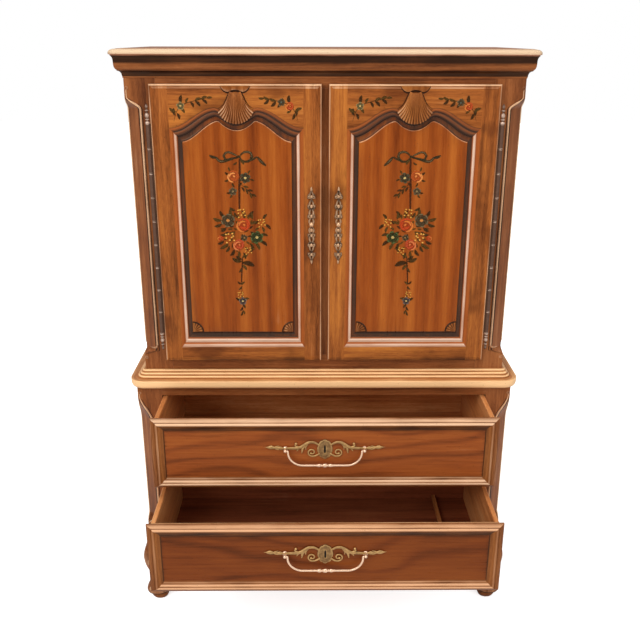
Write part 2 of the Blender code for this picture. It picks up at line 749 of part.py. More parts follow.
def build_top_board(root):
    """The top board: its front and side edges are straight below and round over at the top."""
    low = UPPER_TOP + FIT_GAP
    bend = low + TOP_EDGE_FLAT
    section = [(TOP_OVERHANG - TOP_EDGE_UNDERCUT, low), (TOP_OVERHANG, (low + bend) / 2)]
    steps = 5
    for index in range(steps + 1):
        angle = math.pi / 2 * index / steps
        section.append((TOP_OVERHANG - TOP_EDGE_ROUND * (1 - math.cos(angle)),
                        bend + (TOTAL_HEIGHT - bend) * math.sin(angle)))
    rings = []
    for offset, level in section:
        radius = TOP_CORNER + offset - TOP_OVERHANG
        rings.append(plan_ring(UPPER_HALF_WIDTH + offset, UPPER_FRONT - offset, BACK, radius, level))
    finish(stacked("top_board", rings), root, (0, 0, 0), "edge_wood")


def build_upper_case(root):
    """Posts, sides, back, rails, floor, shelves and centre stile of the cabinet."""
    home = (0, 0, 0)
    low = WAIST_TOP + FIT_GAP
    high = UPPER_TOP
    rail_top = low + UPPER_BOTTOM_RAIL
    for side, side_name in ((-1, "left"), (1, "right")):
        outer = side * UPPER_HALF_WIDTH
        post = box(f"upper_{side_name}_post", (side * STILE_EDGE, outer),
                   (UPPER_FRONT, UPPER_FRONT + UPPER_POST_DEPTH), (low, high))
        tool = cant_cutter(side, outer, UPPER_FRONT, UPPER_CANT, UPPER_CANT_BOTTOM, UPPER_CANT_TOP)
        combine(post, tool, "DIFFERENCE")
        leaf = side * HINGE_AXIS
        slot = box("leaf_slot", (leaf - side * FIT_GAP, leaf + side * (HINGE_LEAF + FIT_GAP)),
                   (UPPER_FRONT - BOARD, leaf_back() + FIT_GAP),
                   (HINGE_BOTTOM - FIT_GAP, HINGE_BOTTOM + HINGE_LENGTH + FIT_GAP))
        finish(combine(post, slot, "DIFFERENCE"), root, home, "case_wood")
        panel = box(f"upper_{side_name}_side", (outer - side * BOARD, outer),
                    (UPPER_FRONT + UPPER_POST_DEPTH + FIT_GAP, BACK), (low, high))
        finish(panel, root, home, "case_wood")
    inside = UPPER_HALF_WIDTH - BOARD - FIT_GAP
    finish(box("upper_back", (-inside, inside), (BACK_INSIDE, BACK), (low, high)), root, home, "plain_wood")
    half = STILE_EDGE - FIT_GAP
    rail_depth = (UPPER_FRONT, UPPER_FRONT + UPPER_RAIL_DEPTH)
    rail = box("upper_bottom_rail", (-half, half), rail_depth, (low, rail_top))
    finish(rail, root, home, "case_wood")
    rail_bottom = high - UPPER_TOP_RAIL
    rail = box("upper_top_rail", (-half, half), rail_depth, (rail_bottom, high))
    finish(rail, root, home, "case_wood")
    centre = box("centre_stile", (-CENTRE_STILE_WIDTH / 2, CENTRE_STILE_WIDTH / 2),
                 (UPPER_FRONT, UPPER_FRONT + CENTRE_STILE_DEPTH),
                 (rail_top + FIT_GAP, rail_bottom - FIT_GAP))
    finish(centre, root, home, "case_wood")
    shelf_front = UPPER_FRONT + UPPER_POST_DEPTH + FIT_GAP
    shelf_back = BACK_INSIDE - FIT_GAP
    floor = box("cabinet_floor", (-inside, inside), (shelf_front, shelf_back),
                (rail_top - FLOOR_BOARD, rail_top))
    finish(floor, root, home, "plain_wood")
    for index, name in enumerate(SHELVES):
        level = rail_top + (rail_bottom - rail_top) * (index + 1) / (len(SHELVES) + 1)
        shelf = box(name, (-inside, inside), (shelf_front, shelf_back), (level - SHELF, level))
        finish(shelf, root, home, "plain_wood")


def leaf_back():
    """How far back a hinge's case leaf reaches into its post."""
    return UPPER_FRONT + HINGE_LEAF_DEPTH


def knuckle_range(index):
    """Bottom and top of one knuckle, counted from the lowest."""
    pitch = HINGE_LENGTH / HINGE_KNUCKLES
    bottom = HINGE_BOTTOM + pitch * index
    return bottom + PIVOT_GAP / 2, bottom + pitch - PIVOT_GAP / 2


def finial_profile(direction):
    """Radius and distance of a turned finial, from the barrel's end to its tip."""
    shape = [(1.10, 0.00), (1.10, 0.08), (0.60, 0.14), (0.85, 0.26), (1.05, 0.36), (0.80, 0.48)]
    shape += [(0.42, 0.58), (0.80, 0.64), (0.80, 0.70), (0.36, 0.76), (0.66, 0.86), (0.50, 0.96)]
    return [(HINGE_BARREL * radius, direction * FINIAL_LENGTH * place) for radius, place in shape]


def hinge_case_leaf(name, side):
    """Fixed half of a hinge: pin, odd knuckles and finials in one turning, and a leaf."""
    top = HINGE_BOTTOM + HINGE_LENGTH
    above = [(radius, top + place) for radius, place in finial_profile(1)]
    below = [(radius, HINGE_BOTTOM + place) for radius, place in finial_profile(-1)]
    profile = [(0.0, top + FINIAL_LENGTH)] + above[::-1]
    for index in reversed(range(0, HINGE_KNUCKLES, 2)):
        low, high = knuckle_range(index)
        if index < HINGE_KNUCKLES - 1:
            profile += [(HINGE_PIN, high), (HINGE_BARREL, high)]
        else:
            profile += [(HINGE_BARREL, high)]
        profile += [(HINGE_BARREL, low)]
        if index > 0:
            profile += [(HINGE_PIN, low)]
    profile += below + [(0.0, HINGE_BOTTOM - FINIAL_LENGTH)]
    axis_x = side * HINGE_AXIS
    piece = turned(name, profile, (axis_x, HINGE_Y, 0.0))
    clear = HINGE_Y + HINGE_BARREL + PIVOT_GAP
    fingers = []
    for index in reversed(range(0, HINGE_KNUCKLES, 2)):
        low, high = knuckle_range(index)
        fingers += [(clear, high), (HINGE_Y, high), (HINGE_Y, low), (clear, low)]
    lowest, _ = knuckle_range(0)
    _, highest = knuckle_range(HINGE_KNUCKLES - 1)
    outline = [(leaf_back(), lowest), (leaf_back(), highest)] + fingers[1:-1]
    leaf = extruded("leaf", [outline], (axis_x, axis_x + side * HINGE_LEAF), "X")
    return combine(piece, leaf, "UNION")


def hinge_door_leaf(name, side):
    """Moving half of a hinge: a leaf on the door's edge and the even knuckles, bored for the pin."""
    edge = side * (DOOR_OUTER_EDGE + FIT_GAP)
    axis_x = side * HINGE_AXIS
    web_front = HINGE_Y - HINGE_LEAF / 2
    first_low, _ = knuckle_range(0)
    _, last_high = knuckle_range(HINGE_KNUCKLES - 1)
    piece = box(name, (edge, edge + side * HINGE_LEAF), (web_front, DOOR_BACK - DOOR_THICKNESS / 4),
                (first_low, last_high))
    for index in range(1, HINGE_KNUCKLES, 2):
        low, high = knuckle_range(index)
        web = box("web", (edge + side * HINGE_LEAF / 2, axis_x), (web_front, web_front + HINGE_LEAF),
                  (low, high))
        combine(piece, web, "UNION")
        barrel = rod("barrel", HINGE_BARREL, high - low, (axis_x, HINGE_Y, (low + high) / 2))
        combine(piece, barrel, "UNION")
    middle = HINGE_BOTTOM + HINGE_LENGTH / 2
    bore = rod("bore", HINGE_PIN + PIVOT_GAP, HINGE_LENGTH * 1.1, (axis_x, HINGE_Y, middle))
    return combine(piece, bore, "DIFFERENCE")


def arch_height(across, half_width, shoulder, rise, peak, dip, cusp):
    """Height of a door's arch: a curve up to each peak and a dip between. A cusp of 1 makes sharp peaks."""
    distance = abs(across)
    if distance >= peak:
        climb = (half_width - distance) / (half_width - peak)
        straight = CUSP_STRAIGHT * cusp
        return shoulder + rise * (straight * climb + (1 - straight) * half_wave(climb))
    share = distance / peak
    fall = cusp * (1 - share ** 2) + (1 - cusp) * half_wave(1 - share)
    return shoulder + rise - dip * fall


def arch_outline(half_width, bottom, shoulder, rise, peak, dip, cusp):
    """The closed outline under a door's arch, from its lower left corner."""
    outline = [(-half_width, bottom), (half_width, bottom)]
    places = [half_width - (half_width - peak) * i / ARCH_STEPS for i in range(ARCH_STEPS)]
    places += [peak * (1 - i / (ARCH_STEPS // 2)) for i in range(ARCH_STEPS // 2)]
    places += [0.0] + [-place for place in reversed(places)]
    for across in places:
        outline.append((across, arch_height(across, half_width, shoulder, rise, peak, dip, cusp)))
    return outline


def between_outlines(fraction):
    """The outline at a fraction of the way from the frame's edge to the panel's field."""
    half = DOOR_WIDTH / 2 - DOOR_STILE
    frame = arch_outline(half, DOOR_BOTTOM_RAIL, ARCH_SHOULDER, ARCH_RISE, ARCH_PEAK, ARCH_DIP, ARCH_CUSP)
    field = arch_outline(half - MOULDING_WIDTH, PANEL_BOTTOM,
                         PANEL_SHOULDER, PANEL_RISE, PANEL_PEAK, PANEL_DIP, PANEL_CUSP)
    return [(a + (c - a) * fraction, b + (d - b) * fraction) for (a, b), (c, d) in zip(frame, field)]


def door_ring(centre, fraction, depth):
    """A ring on a door at a fraction of the moulding's width and a depth behind its front."""
    outline = between_outlines(fraction)
    return [(centre + across, DOOR_FRONT + depth, DOOR_BOTTOM + up) for across, up in outline]


def build_door(side, side_name, root):
    """One arched door: frame, moulding, raised panel, shell, hinge leaf and pull."""
    centre = side * DOOR_CENTRE
    home = (side * HINGE_AXIS, HINGE_Y, DOOR_BOTTOM)
    group = make_group(f"{side_name}_door", home, root)
    half = DOOR_WIDTH / 2
    outer = [(centre - half, DOOR_BOTTOM), (centre + half, DOOR_BOTTOM)]
    outer += [(centre + half, DOOR_BOTTOM + DOOR_HEIGHT), (centre - half, DOOR_BOTTOM + DOOR_HEIGHT)]
    opening = [(centre + across, DOOR_BOTTOM + up) for across, up in between_outlines(0.0)]
    frame = extruded(f"{side_name}_door_frame", [outer, opening], (DOOR_FRONT, DOOR_BACK), "Y")
    corners = [(across, DOOR_FRONT, up) for across, up in outer]
    finish(soften_rim(frame, DOOR_EDGE_ROUND, corners), group, home, "frame_wood")
    slack = FIT_GAP / MOULDING_WIDTH
    section = [(slack, MOULDING_BACK), (slack, MOULDING_SETBACK)]
    section += [*MOULDING_FACE, (GROOVE_START, GROOVE_DEPTH), (GROOVE_START, MOULDING_BACK)]
    rings = [door_ring(centre, fraction, depth) for fraction, depth in section]
    finish(ring_solid(f"{side_name}_door_moulding", rings), group, home, "dark_groove")
    panel_edge = GROOVE_START + slack
    section = [(panel_edge, PANEL_BACK), (panel_edge, GROOVE_DEPTH), (GROOVE_END, GROOVE_DEPTH)]
    section += [(1.0, PANEL_FIELD_DEPTH)]
    rings = [door_ring(centre, fraction, depth) for fraction, depth in section]
    finish(stacked(f"{side_name}_door_panel", rings), group, home, "panel_wood")
    finish(build_shell(f"{side_name}_door_shell", centre), group, home, "frame_wood")
    finish(hinge_door_leaf(f"{side_name}_hinge_door_leaf", side), group, home, "dark_bronze")
    finish(build_door_pull(f"{side_name}_door_pull", side), group, home, "antique_brass")
    leaf = hinge_case_leaf(f"{side_name}_hinge_case_leaf", side)
    finish(leaf, root, (0, 0, 0), "dark_bronze")


def build_shell(name, centre):
    """A carved scallop: ribs fan out downwards from a narrow top."""
    top = SHELL_BOTTOM + SHELL_HEIGHT
    rows = 4
    columns = SHELL_RIBS * 2
    spread = math.radians(84)
    rings = []
    for row in range(rows + 1):
        reach = row / rows
        line = []
        for column in range(columns + 1):
            angle = spread * (column / columns - 0.5)
            rib = math.cos(math.pi * column)
            radius = SHELL_HEIGHT * (0.16 + 0.84 * reach)
            scallop = 1 + 0.03 * rib * reach
            across = SHELL_WIDTH / 2 * math.sin(angle) / math.sin(spread / 2) * (0.16 + 0.84 * reach)
            down = radius * math.cos(angle * 0.62) * scallop
            out = SHELL_RELIEF * (0.55 + 0.45 * math.sin(math.pi * min(1.0, reach * 0.9 + 0.1)))
            out += SHELL_RIB_DEPTH * rib * reach
            line.append((centre + across, DOOR_FRONT - out, DOOR_BOTTOM + top - down))
        rings.append(line)
    work = bmesh.new()
    front = [[work.verts.new(place) for place in line] for line in rings]
    seat = DOOR_FRONT - FIT_GAP
    back = [[work.verts.new((x, seat, z)) for x, _, z in line] for line in rings]
    for row in range(rows):
        for column in range(columns):
            for layer in (front, back):
                work.faces.new((layer[row][column], layer[row][column + 1],
                                layer[row + 1][column + 1], layer[row + 1][column]))
    for row in range(rows):
        for column in (0, columns):
            work.faces.new((front[row][column], front[row + 1][column],
                            back[row + 1][column], back[row][column]))
    for column in range(columns):
        for row in (0, rows):
            work.faces.new((front[row][column], front[row][column + 1],
                            back[row][column + 1], back[row][column]))
    return make_object(name, mesh_from(work, name))


def pull_half_width(fraction):
    """Half width of a door pull's plate, from its middle (0) to its tip (1)."""
    lobes = 0.80 + 0.20 * math.cos(2 * math.pi * 3.0 * fraction)
    taper = math.sqrt(max(0.0, 1 - fraction ** 4))
    return DOOR_PULL_WIDTH / 2 * lobes * taper


def build_door_pull(name, side):
    """A long pierced scroll plate with an oval knob."""
    x = side * (DOOR_INNER_EDGE + DOOR_PULL_FROM_EDGE)
    half = DOOR_PULL_LENGTH / 2
    steps = 14
    right = []
    for index in range(-steps, steps + 1):
        fraction = index / steps
        reach = max(pull_half_width(abs(fraction)), DOOR_PULL_WIDTH / 12)
        right.append((x + reach, DOOR_PULL_CENTRE + half * fraction))
    left = [(2 * x - across, up) for across, up in right[::-1]]
    outlines = [right + left]
    for place in (-0.66, -0.33, 0.33, 0.66):
        hole = []
        for index in range(8):
            angle = 2 * math.pi * index / 8
            hole.append((x + DOOR_PULL_WIDTH * 0.16 * math.cos(angle),
                         DOOR_PULL_CENTRE + half * (place + 0.075 * math.sin(angle))))
        outlines.append(hole)
    back = DOOR_FRONT - FIT_GAP
    piece = extruded(name, outlines, (back - DOOR_PULL_PLATE, back), "Y")
    knob = [(KNOB_RADIUS * radius, KNOB_REACH * reach) for radius, reach in KNOB_PROFILE]
    turning = turned("knob", knob, (x, back - DOOR_PULL_PLATE / 2, DOOR_PULL_CENTRE + KNOB_ABOVE_CENTRE), "Y")
    return combine(piece, turning, "UNION")


def front_ring(inset, depth, half_width, low, high):
    """A rectangle on a drawer front, inset from the edge and set back from the face."""
    x = half_width - inset
    y = DRAWER_FACE + depth
    return [(-x, y, low + inset), (x, y, low + inset), (x, y, high - inset), (-x, y, high - inset)]


def build_drawer(name, opening_bottom, out, has_divider, root):
    """One drawer, shut at its home place and pulled out with its group."""
    group = make_group(name, (0.0, -out, 0.0), root)
    home = (0.0, 0.0, 0.0)
    opening_top = opening_bottom + OPENING_HEIGHT
    low = opening_bottom + FIT_GAP
    high = opening_top - SLIDE_GAP
    lip_half = OPENING_HALF + FRONT_LIP
    lip_low = opening_bottom - FRONT_LIP
    lip_high = opening_top + FRONT_LIP
    section = ((0.0, LIP_THICKNESS),) + BORDER_SLOPE + BORDER_BEAD + BORDER_COVE
    rings = [front_ring(inset, depth, lip_half, lip_low, lip_high) for inset, depth in section]
    body_front = DRAWER_FACE + LIP_THICKNESS
    body_back = body_front + LIP_GAP + FRONT_BODY
    front = stacked(f"{name}_front", rings)
    body = box("body", (-DRAWER_HALF, DRAWER_HALF), (body_front - LIP_THICKNESS / 5, body_back), (low, high))
    finish(combine(front, body, "UNION"), group, home, "panel_wood")
    side_front = body_back + FIT_GAP
    side_back = side_front + DRAWER_LENGTH
    for side, side_name in ((-1, "left"), (1, "right")):
        outer = side * DRAWER_HALF
        board = box(f"{name}_{side_name}_side", (outer - side * DRAWER_SIDE, outer),
                    (side_front, side_back), (low, high))
        finish(soften(board, DRAWER_SIDE / 8), group, home, "drawer_wood")
    inside = DRAWER_HALF - DRAWER_SIDE - FIT_GAP
    board = box(f"{name}_back", (-inside, inside), (side_back - DRAWER_SIDE, side_back),
                (low, high - DRAWER_SIDE))
    finish(board, group, home, "drawer_wood")
    floor = low + BOTTOM_RAISE
    inner_back = side_back - DRAWER_SIDE - FIT_GAP
    board = box(f"{name}_bottom", (-inside, inside), (side_front, inner_back), (floor, floor + DRAWER_BOTTOM))
    finish(board, group, home, "drawer_wood")
    if has_divider:
        x_range = (DIVIDER_PLACE - DIVIDER / 2, DIVIDER_PLACE + DIVIDER / 2)
        strip_low = floor + DRAWER_BOTTOM + FIT_GAP
        board = box(f"{name}_divider", x_range, (side_front, inner_back),
                    (strip_low, strip_low + DIVIDER_HEIGHT))
        finish(board, group, home, "drawer_wood")
    pull_level = (lip_low + lip_high) / 2 + PULL_ABOVE_CENTRE
    finish(build_pull_plate(f"{name}_pull_plate", pull_level), group, home, "antique_brass")
    pivot = (0.0, PULL_AXIS_Y, pull_level)
    bail_group = make_group(f"{name}_bail_pivot", pivot, group)
    finish(build_bail(f"{name}_bail", pull_level), bail_group, pivot, "antique_brass")


def escutcheon_outline(level):
    """A lobed oval plate."""
    points = 28
    lobes = 8
    outline = []
    for index in range(points):
        angle = 2 * math.pi * index / points
        swell = 1 + 0.06 * math.cos(lobes * angle)
        outline.append((ESCUTCHEON_WIDTH / 2 * math.sin(angle) * swell,
                        level + ESCUTCHEON_ABOVE - ESCUTCHEON_HEIGHT / 2 * math.cos(angle) * swell))
    return outline


def keyhole_outline(level):
    """A round eye over a straight slot."""
    centre = level + ESCUTCHEON_ABOVE + ESCUTCHEON_HEIGHT * 0.16
    eye = ESCUTCHEON_WIDTH * 0.085
    slot = eye * 0.55
    drop = ESCUTCHEON_HEIGHT * 0.36
    outline = [(-slot, centre - drop), (slot, centre - drop)]
    for index in range(7):
        angle = -math.pi / 3 + math.pi * 5 / 3 * index / 6
        outline.append((eye * math.cos(angle), centre + eye * math.sin(angle)))
    return outline


def scroll_paths(level):
    """Centre lines of the scrolls on the right of a pull plate, with their thickness."""
    post = PULL_POST_SPACING / 2
    tip = PULL_SPAN / 2
    edge = ESCUTCHEON_WIDTH * 0.42
    arm = [(edge, 0.012), (edge + 0.012, 0.0195), (edge + 0.026, 0.0205), (edge + 0.038, 0.0145)]
    arm += [(edge + 0.052, 0.0060), (edge + 0.070, 0.0005), (post, 0.0), (post + 0.014, 0.0022)]
    arm += [(post + 0.026, 0.0040), (post + 0.038, 0.0066), (tip, 0.0092)]
    arm_scales = [1.0, 1.1, 1.1, 1.2, 1.3, 1.1, 1.4, 0.9, 1.0, 1.3, 0.35]
    curl = [(edge * 0.6, -0.0140), (edge, -0.0168)]
    curl_scales = [1.0, 1.0]
    turns = 9
    for index in range(turns + 1):
        angle = -math.pi * 0.75 + math.pi * 1.5 * index / turns
        radius = 0.0125 * (1 - 0.55 * index / turns)
        curl.append((edge + 0.0190 + radius * math.cos(angle), -0.0115 + radius * math.sin(angle)))
        curl_scales.append(1.0 if index < turns else 1.5)
    leaf = [(edge + 0.040, 0.0125), (edge + 0.043, 0.0030), (edge + 0.041, -0.0120)]
    leaf_scales = [1.0, 1.4, 0.3]
    sprig = [(edge + 0.052, 0.0060), (edge + 0.062, 0.0100), (edge + 0.068, 0.0160)]
    sprig_scales = [0.8, 0.9, 1.3]
    paths = []
    for path, scales in ((arm, arm_scales), (curl, curl_scales), (leaf, leaf_scales), (sprig, sprig_scales)):
        paths.append(([(across, level + up) for across, up in path], scales))
    return paths


def build_pull_plate(name, level):
    """An escutcheon with scrolls to each side and two ball posts for the bail."""
    back = FIELD_FACE - FIT_GAP
    face = back - PULL_PLATE
    plate = extruded(name, [escutcheon_outline(level), keyhole_outline(level)], (face, back), "Y")
    arm_y = back - PULL_ARM * max(scale for _, scales in scroll_paths(level) for scale in scales)
    for side in (-1, 1):
        for path, scales in scroll_paths(level):
            points = [(side * across, arm_y, up) for across, up in path]
            combine(plate, tube("scroll", points, PULL_ARM, scales), "UNION")
        post_x = side * PULL_POST_SPACING / 2
        reach = back - PULL_AXIS_Y
        top = reach + PULL_BALL
        profile = [(0.0, top), (0.62 * PULL_BALL, reach + 0.78 * PULL_BALL), (PULL_BALL, reach)]
        profile += [(0.72 * PULL_BALL, reach - 0.70 * PULL_BALL), (PULL_POST_NECK, reach - PULL_BALL)]
        profile += [(PULL_POST_NECK, PULL_PLATE), (PULL_POST_FOOT, PULL_PLATE * 0.8)]
        profile += [(PULL_POST_FOOT, 0.0), (0.0, 0.0)]
        combine(plate, turned("post", profile, (post_x, back, level), "Y"), "UNION")
        bore_depth = PULL_BALL * 1.4
        bore_x = post_x - side * (PULL_BALL * 1.2 - bore_depth / 2)
        bore = rod("bore", bail_pin_radius() + PIVOT_GAP, bore_depth, (bore_x, PULL_AXIS_Y, level), "X")
        combine(plate, bore, "DIFFERENCE")
    return plate


def bail_pin_radius():
    """Radius of the pins at the ends of a bail."""
    return BAIL_WIRE * 0.7


def build_bail(name, level):
    """A drop handle: one bent wire with turned beads in the middle of its grip."""
    arm_x = PULL_POST_SPACING / 2 - PULL_BALL - BAIL_WIRE - PIVOT_GAP
    pin_x = PULL_POST_SPACING / 2 - PULL_BALL * 0.1
    thin = bail_pin_radius() / BAIL_WIRE
    half_flat = BAIL_FLAT / 2
    bottom = level - BAIL_DROP
    bend = arm_x - half_flat
    right = [(pin_x, level, thin), (arm_x + BAIL_WIRE, level, thin)]
    right += [(arm_x + BAIL_WIRE * 0.4, level - BAIL_WIRE * 0.3, 1.0), (arm_x, level - BAIL_WIRE * 1.5, 1.0)]
    steps = 7
    start = level - BAIL_DROP * BAIL_STRAIGHT
    for index in range(steps + 1):
        angle = math.pi / 2 * index / steps
        right.append((half_flat + bend * math.cos(angle), start + (bottom - start) * math.sin(angle), 1.0))
    right += [(across, bottom, radius / BAIL_WIRE) for across, radius in BAIL_BEADS]
    points = right + [(-across, up, scale) for across, up, scale in right[::-1]]
    places = [(across, PULL_AXIS_Y, up) for across, up, _ in points]
    return tube(name, places, BAIL_WIRE, [scale for _, _, scale in points], resolution=1)


def build_chest():
    """The whole door chest."""
    clear_scene()
    root = make_group("door_chest", (0.0, CENTRE_SHIFT, 0.0))
    build_feet(root)
    build_aprons(root)
    build_lower_case(root)
    build_waist(root)
    build_upper_case(root)
    build_cornice(root)
    build_top_board(root)
    build_door(-1, "left", root)
    build_door(1, "right", root)
    build_drawer("upper_drawer", UPPER_OPENING_BOTTOM, UPPER_DRAWER_OUT, False, root)
    build_drawer("lower_drawer", LOWER_OPENING_BOTTOM, LOWER_DRAWER_OUT, True, root)


build_chest()
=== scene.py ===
"""Looks of the door chest: its finishes, carving, painted sprays and fittings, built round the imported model.

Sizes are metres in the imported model's frame: X to the chest's right, Y to the back, Z up from the floor.
Places come from the boxes of the model's nodes, so that every piece sits where its solid is.
"""
import math

import bmesh
import bpy
import numpy as np
from mathutils import Matrix, Vector


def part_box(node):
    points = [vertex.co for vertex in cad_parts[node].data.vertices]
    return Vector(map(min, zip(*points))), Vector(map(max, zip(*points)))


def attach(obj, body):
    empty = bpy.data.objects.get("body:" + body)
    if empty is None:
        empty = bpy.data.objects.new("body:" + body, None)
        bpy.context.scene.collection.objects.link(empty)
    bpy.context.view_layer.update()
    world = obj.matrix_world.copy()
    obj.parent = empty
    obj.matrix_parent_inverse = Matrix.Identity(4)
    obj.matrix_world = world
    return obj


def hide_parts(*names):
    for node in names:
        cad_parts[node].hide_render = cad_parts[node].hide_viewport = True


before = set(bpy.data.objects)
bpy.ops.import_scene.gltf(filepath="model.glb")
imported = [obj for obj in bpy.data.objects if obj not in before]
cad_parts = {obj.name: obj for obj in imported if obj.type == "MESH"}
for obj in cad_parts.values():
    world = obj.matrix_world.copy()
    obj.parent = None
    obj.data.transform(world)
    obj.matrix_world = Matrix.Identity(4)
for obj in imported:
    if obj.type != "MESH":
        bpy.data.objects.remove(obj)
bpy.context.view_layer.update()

# Camera, fitted to the outlines in the photograph
CAMERA_PLACE = (-0.0325, -2.17605, 1.7021)
CAMERA_PITCH = -0.3444
CAMERA_TURN = -0.0094
CAMERA_ROLL = 0.0021
CAMERA_LENS = 44.28

# Lamps: name, place, size and power, and the point that they all face
LAMPS = (("key", (-2.6, -3.4, 3.4), 3.0, 122.0), ("fill", (2.9, -3.1, 2.4), 3.0, 50.0),
         ("top", (0.0, -0.9, 3.9), 2.2, 54.0))
LAMP_AIM = (0.0, -0.1, 0.9)

# Doors. Profiles are rows: DOOR_RIM's of inset and depth, DOOR_FLAT's of share, and the other two's of share
# and depth, each with three tones: at the bottom, at the sides and at the top. Besides glaze and rubbing, the
# tones paint highlights on faces turned up and shade on faces turned down, in the groove and near the opening
DOOR_MIDDLE = 0.2316
DOOR_HALF_OPENING = 0.1747
DOOR_FIELD_DROP = 0.0007
DOOR_STILE = 0.0477
DOOR_BOTTOM_RAIL = 0.0420
MOULDING_WIDTH = 0.034
PANEL_BOTTOM = 0.0885
PANEL_MIDDLE = 0.35
ARCH = {"shoulder": 0.6536, "rise": 0.0514, "peak": 0.055, "dip": 0.0215, "cusp": 0.25}
PANEL_ARCH = {"shoulder": 0.6160, "rise": 0.0540, "peak": 0.047, "dip": 0.0245, "cusp": 1.0}
FIELD_DEPTH = 0.0050
DOOR_RIM = ((0.0000, 0.0032, -0.50, 0.05, 0.45), (0.0004, 0.0016, -0.50, 0.25, 0.60),
            (0.0012, 0.0005, -0.50, 0.45, 0.78), (0.0026, 0.0000, -0.48, 0.48, 0.75),
            (0.0040, 0.0002, -0.45, 0.22, 0.50), (0.0048, 0.0010, -0.42, -0.18, -0.10),
            (0.0060, 0.0007, -0.40, 0.00, 0.30), (0.0105, 0.0007, -0.28, 0.00, 0.38),
            (0.0122, 0.0010, -0.15, 0.00, -0.35), (0.0145, 0.0007, 0.00, 0.00, -0.05))
DOOR_FLAT = ((0.55, 0.00, 0.00, 0.00), (0.78, 0.00, -0.20, 0.00), (0.93, 0.00, -0.25, -0.10),
             (0.94, 0.32, -0.22, -0.14), (1.00, 0.38, -0.12, -0.45))
DOOR_MOULDING = ((0.00, 0.0160, -0.3, -0.3, -0.3), (0.00, 0.0010, 0.30, -0.25, -0.70),
                 (0.04, 0.0005, 0.48, -0.10, -0.35), (0.09, 0.0007, 0.50, 0.00, -0.32),
                 (0.15, 0.0016, 0.68, 0.03, -0.50), (0.20, 0.0027, 0.25, 0.06, -0.66),
                 (0.24, 0.0037, -0.05, 0.05, -0.72), (0.265, 0.0050, 0.10, -0.10, -0.95),
                 (0.29, 0.0044, 0.70, 0.20, -0.72), (0.33, 0.0037, 0.65, 0.45, -0.55),
                 (0.38, 0.0034, 0.50, 0.60, -0.52), (0.42, 0.0033, 0.72, 0.60, -0.60),
                 (0.47, 0.0036, 0.90, 0.60, -0.70), (0.52, 0.0044, 0.35, 0.40, -0.80),
                 (0.55, 0.0058, -0.25, 0.05, -0.90), (0.58, 0.0080, -0.50, -0.55, -1.00),
                 (0.61, 0.0093, -0.72, -0.70, -0.85), (0.64, 0.0100, -0.90, -0.72, -0.66),
                 (0.64, 0.0160, -0.50, -0.50, -0.50))
DOOR_PANEL = ((0.65, 0.0200, -0.5, -0.5, -0.5), (0.65, 0.0100, -0.70, -0.66, -0.60),
              (0.72, 0.0106, -0.72, -0.70, -0.55), (0.80, 0.0106, -0.92, -0.78, -0.55),
              (0.88, 0.0100, -1.00, -0.76, -0.62), (0.92, 0.0080, -1.00, -0.88, -0.92),
              (0.94, 0.0058, -0.85, -0.25, 0.30), (0.96, 0.0050, -0.55, -0.12, 0.55),
              (0.985, 0.0050, -0.30, -0.28, 0.30), (1.02, 0.0050, -0.15, -0.28, -0.22),
              (1.08, 0.0050, -0.14, -0.26, -0.16), (1.25, 0.0050, -0.12, -0.22, -0.10),
              (1.60, 0.0050, 0.00, -0.05, 0.00), (2.00, 0.0050, 0.00, 0.00, 0.00))

# How deep a carved piece's edge is let into the wood below it
SEAT = 0.0003

# Carved shell, the lip over it and the fans in the panel's corners. Lines are rows of (across, up from the
# door's foot)
SHELL_ORIGIN = 0.7685
SHELL_START = 0.0260
SHELL_REACH = 0.1040
SHELL_TIP_REACH = 0.0860
SHELL_SPREAD = math.radians(32.5)
SHELL_RIBS = 15
SHELL_RELIEF = 0.0090
SHELL_LOBE = 0.0034
SHELL_RIB = 0.0024
LIP_TOP = 0.7600
LIP_RELIEF = 0.0034
LIP_HALF = 0.0372
LIP_EDGE = ((0.0, 0.7505), (0.008, 0.7494), (0.0205, 0.7454), (0.029, 0.7488), (0.037, 0.7570))
LIP_COVE = ((-0.0460, 0.7030), (-0.0345, 0.7105), (-0.0255, 0.7240), (-0.0190, 0.7375), (-0.0080, 0.7450))
LIP_RIM = ((-0.0390, 0.7590), (-0.0295, 0.7470), (-0.0205, 0.7430), (-0.0080, 0.7468))
FAN_RADIUS = 0.0310
FAN_RIBS = 5
FAN_RIM = 0.84
FAN_OVERLAP = 0.0012
FAN_SEAT = 0.0001

# Hinges
HINGE_AXIS = 0.461
HINGE_BARREL = 0.0050
HINGE_KNUCKLES = 9
HINGE_LEAF = 0.0012
# How far behind the barrel's axis the fixed leaf starts, and how far before it the door's leaf does
FIXED_LEAF_BACK = 0.0056
DOOR_LEAF_FRONT = 0.0006
KNUCKLE_GAP = 0.0003
KNUCKLE_END = 0.0040
KNUCKLE_EASE = 0.0009
KNUCKLE_SHADE = 0.0030
FINIAL = 0.0510
# A finial's stations: its radius in barrel radii, and its share of the length
FINIAL_LINE = ((1.15, 0.00), (1.18, 0.05), (1.00, 0.08), (0.62, 0.12), (0.62, 0.16), (1.05, 0.19),
               (1.05, 0.22), (0.60, 0.25), (0.80, 0.31), (1.08, 0.38), (1.00, 0.45), (0.66, 0.52),
               (0.42, 0.57), (0.42, 0.60), (0.90, 0.63), (0.90, 0.67), (0.40, 0.70), (0.40, 0.73),
               (0.62, 0.78), (0.74, 0.84), (0.62, 0.91), (0.34, 0.96), (0.0, 1.0))

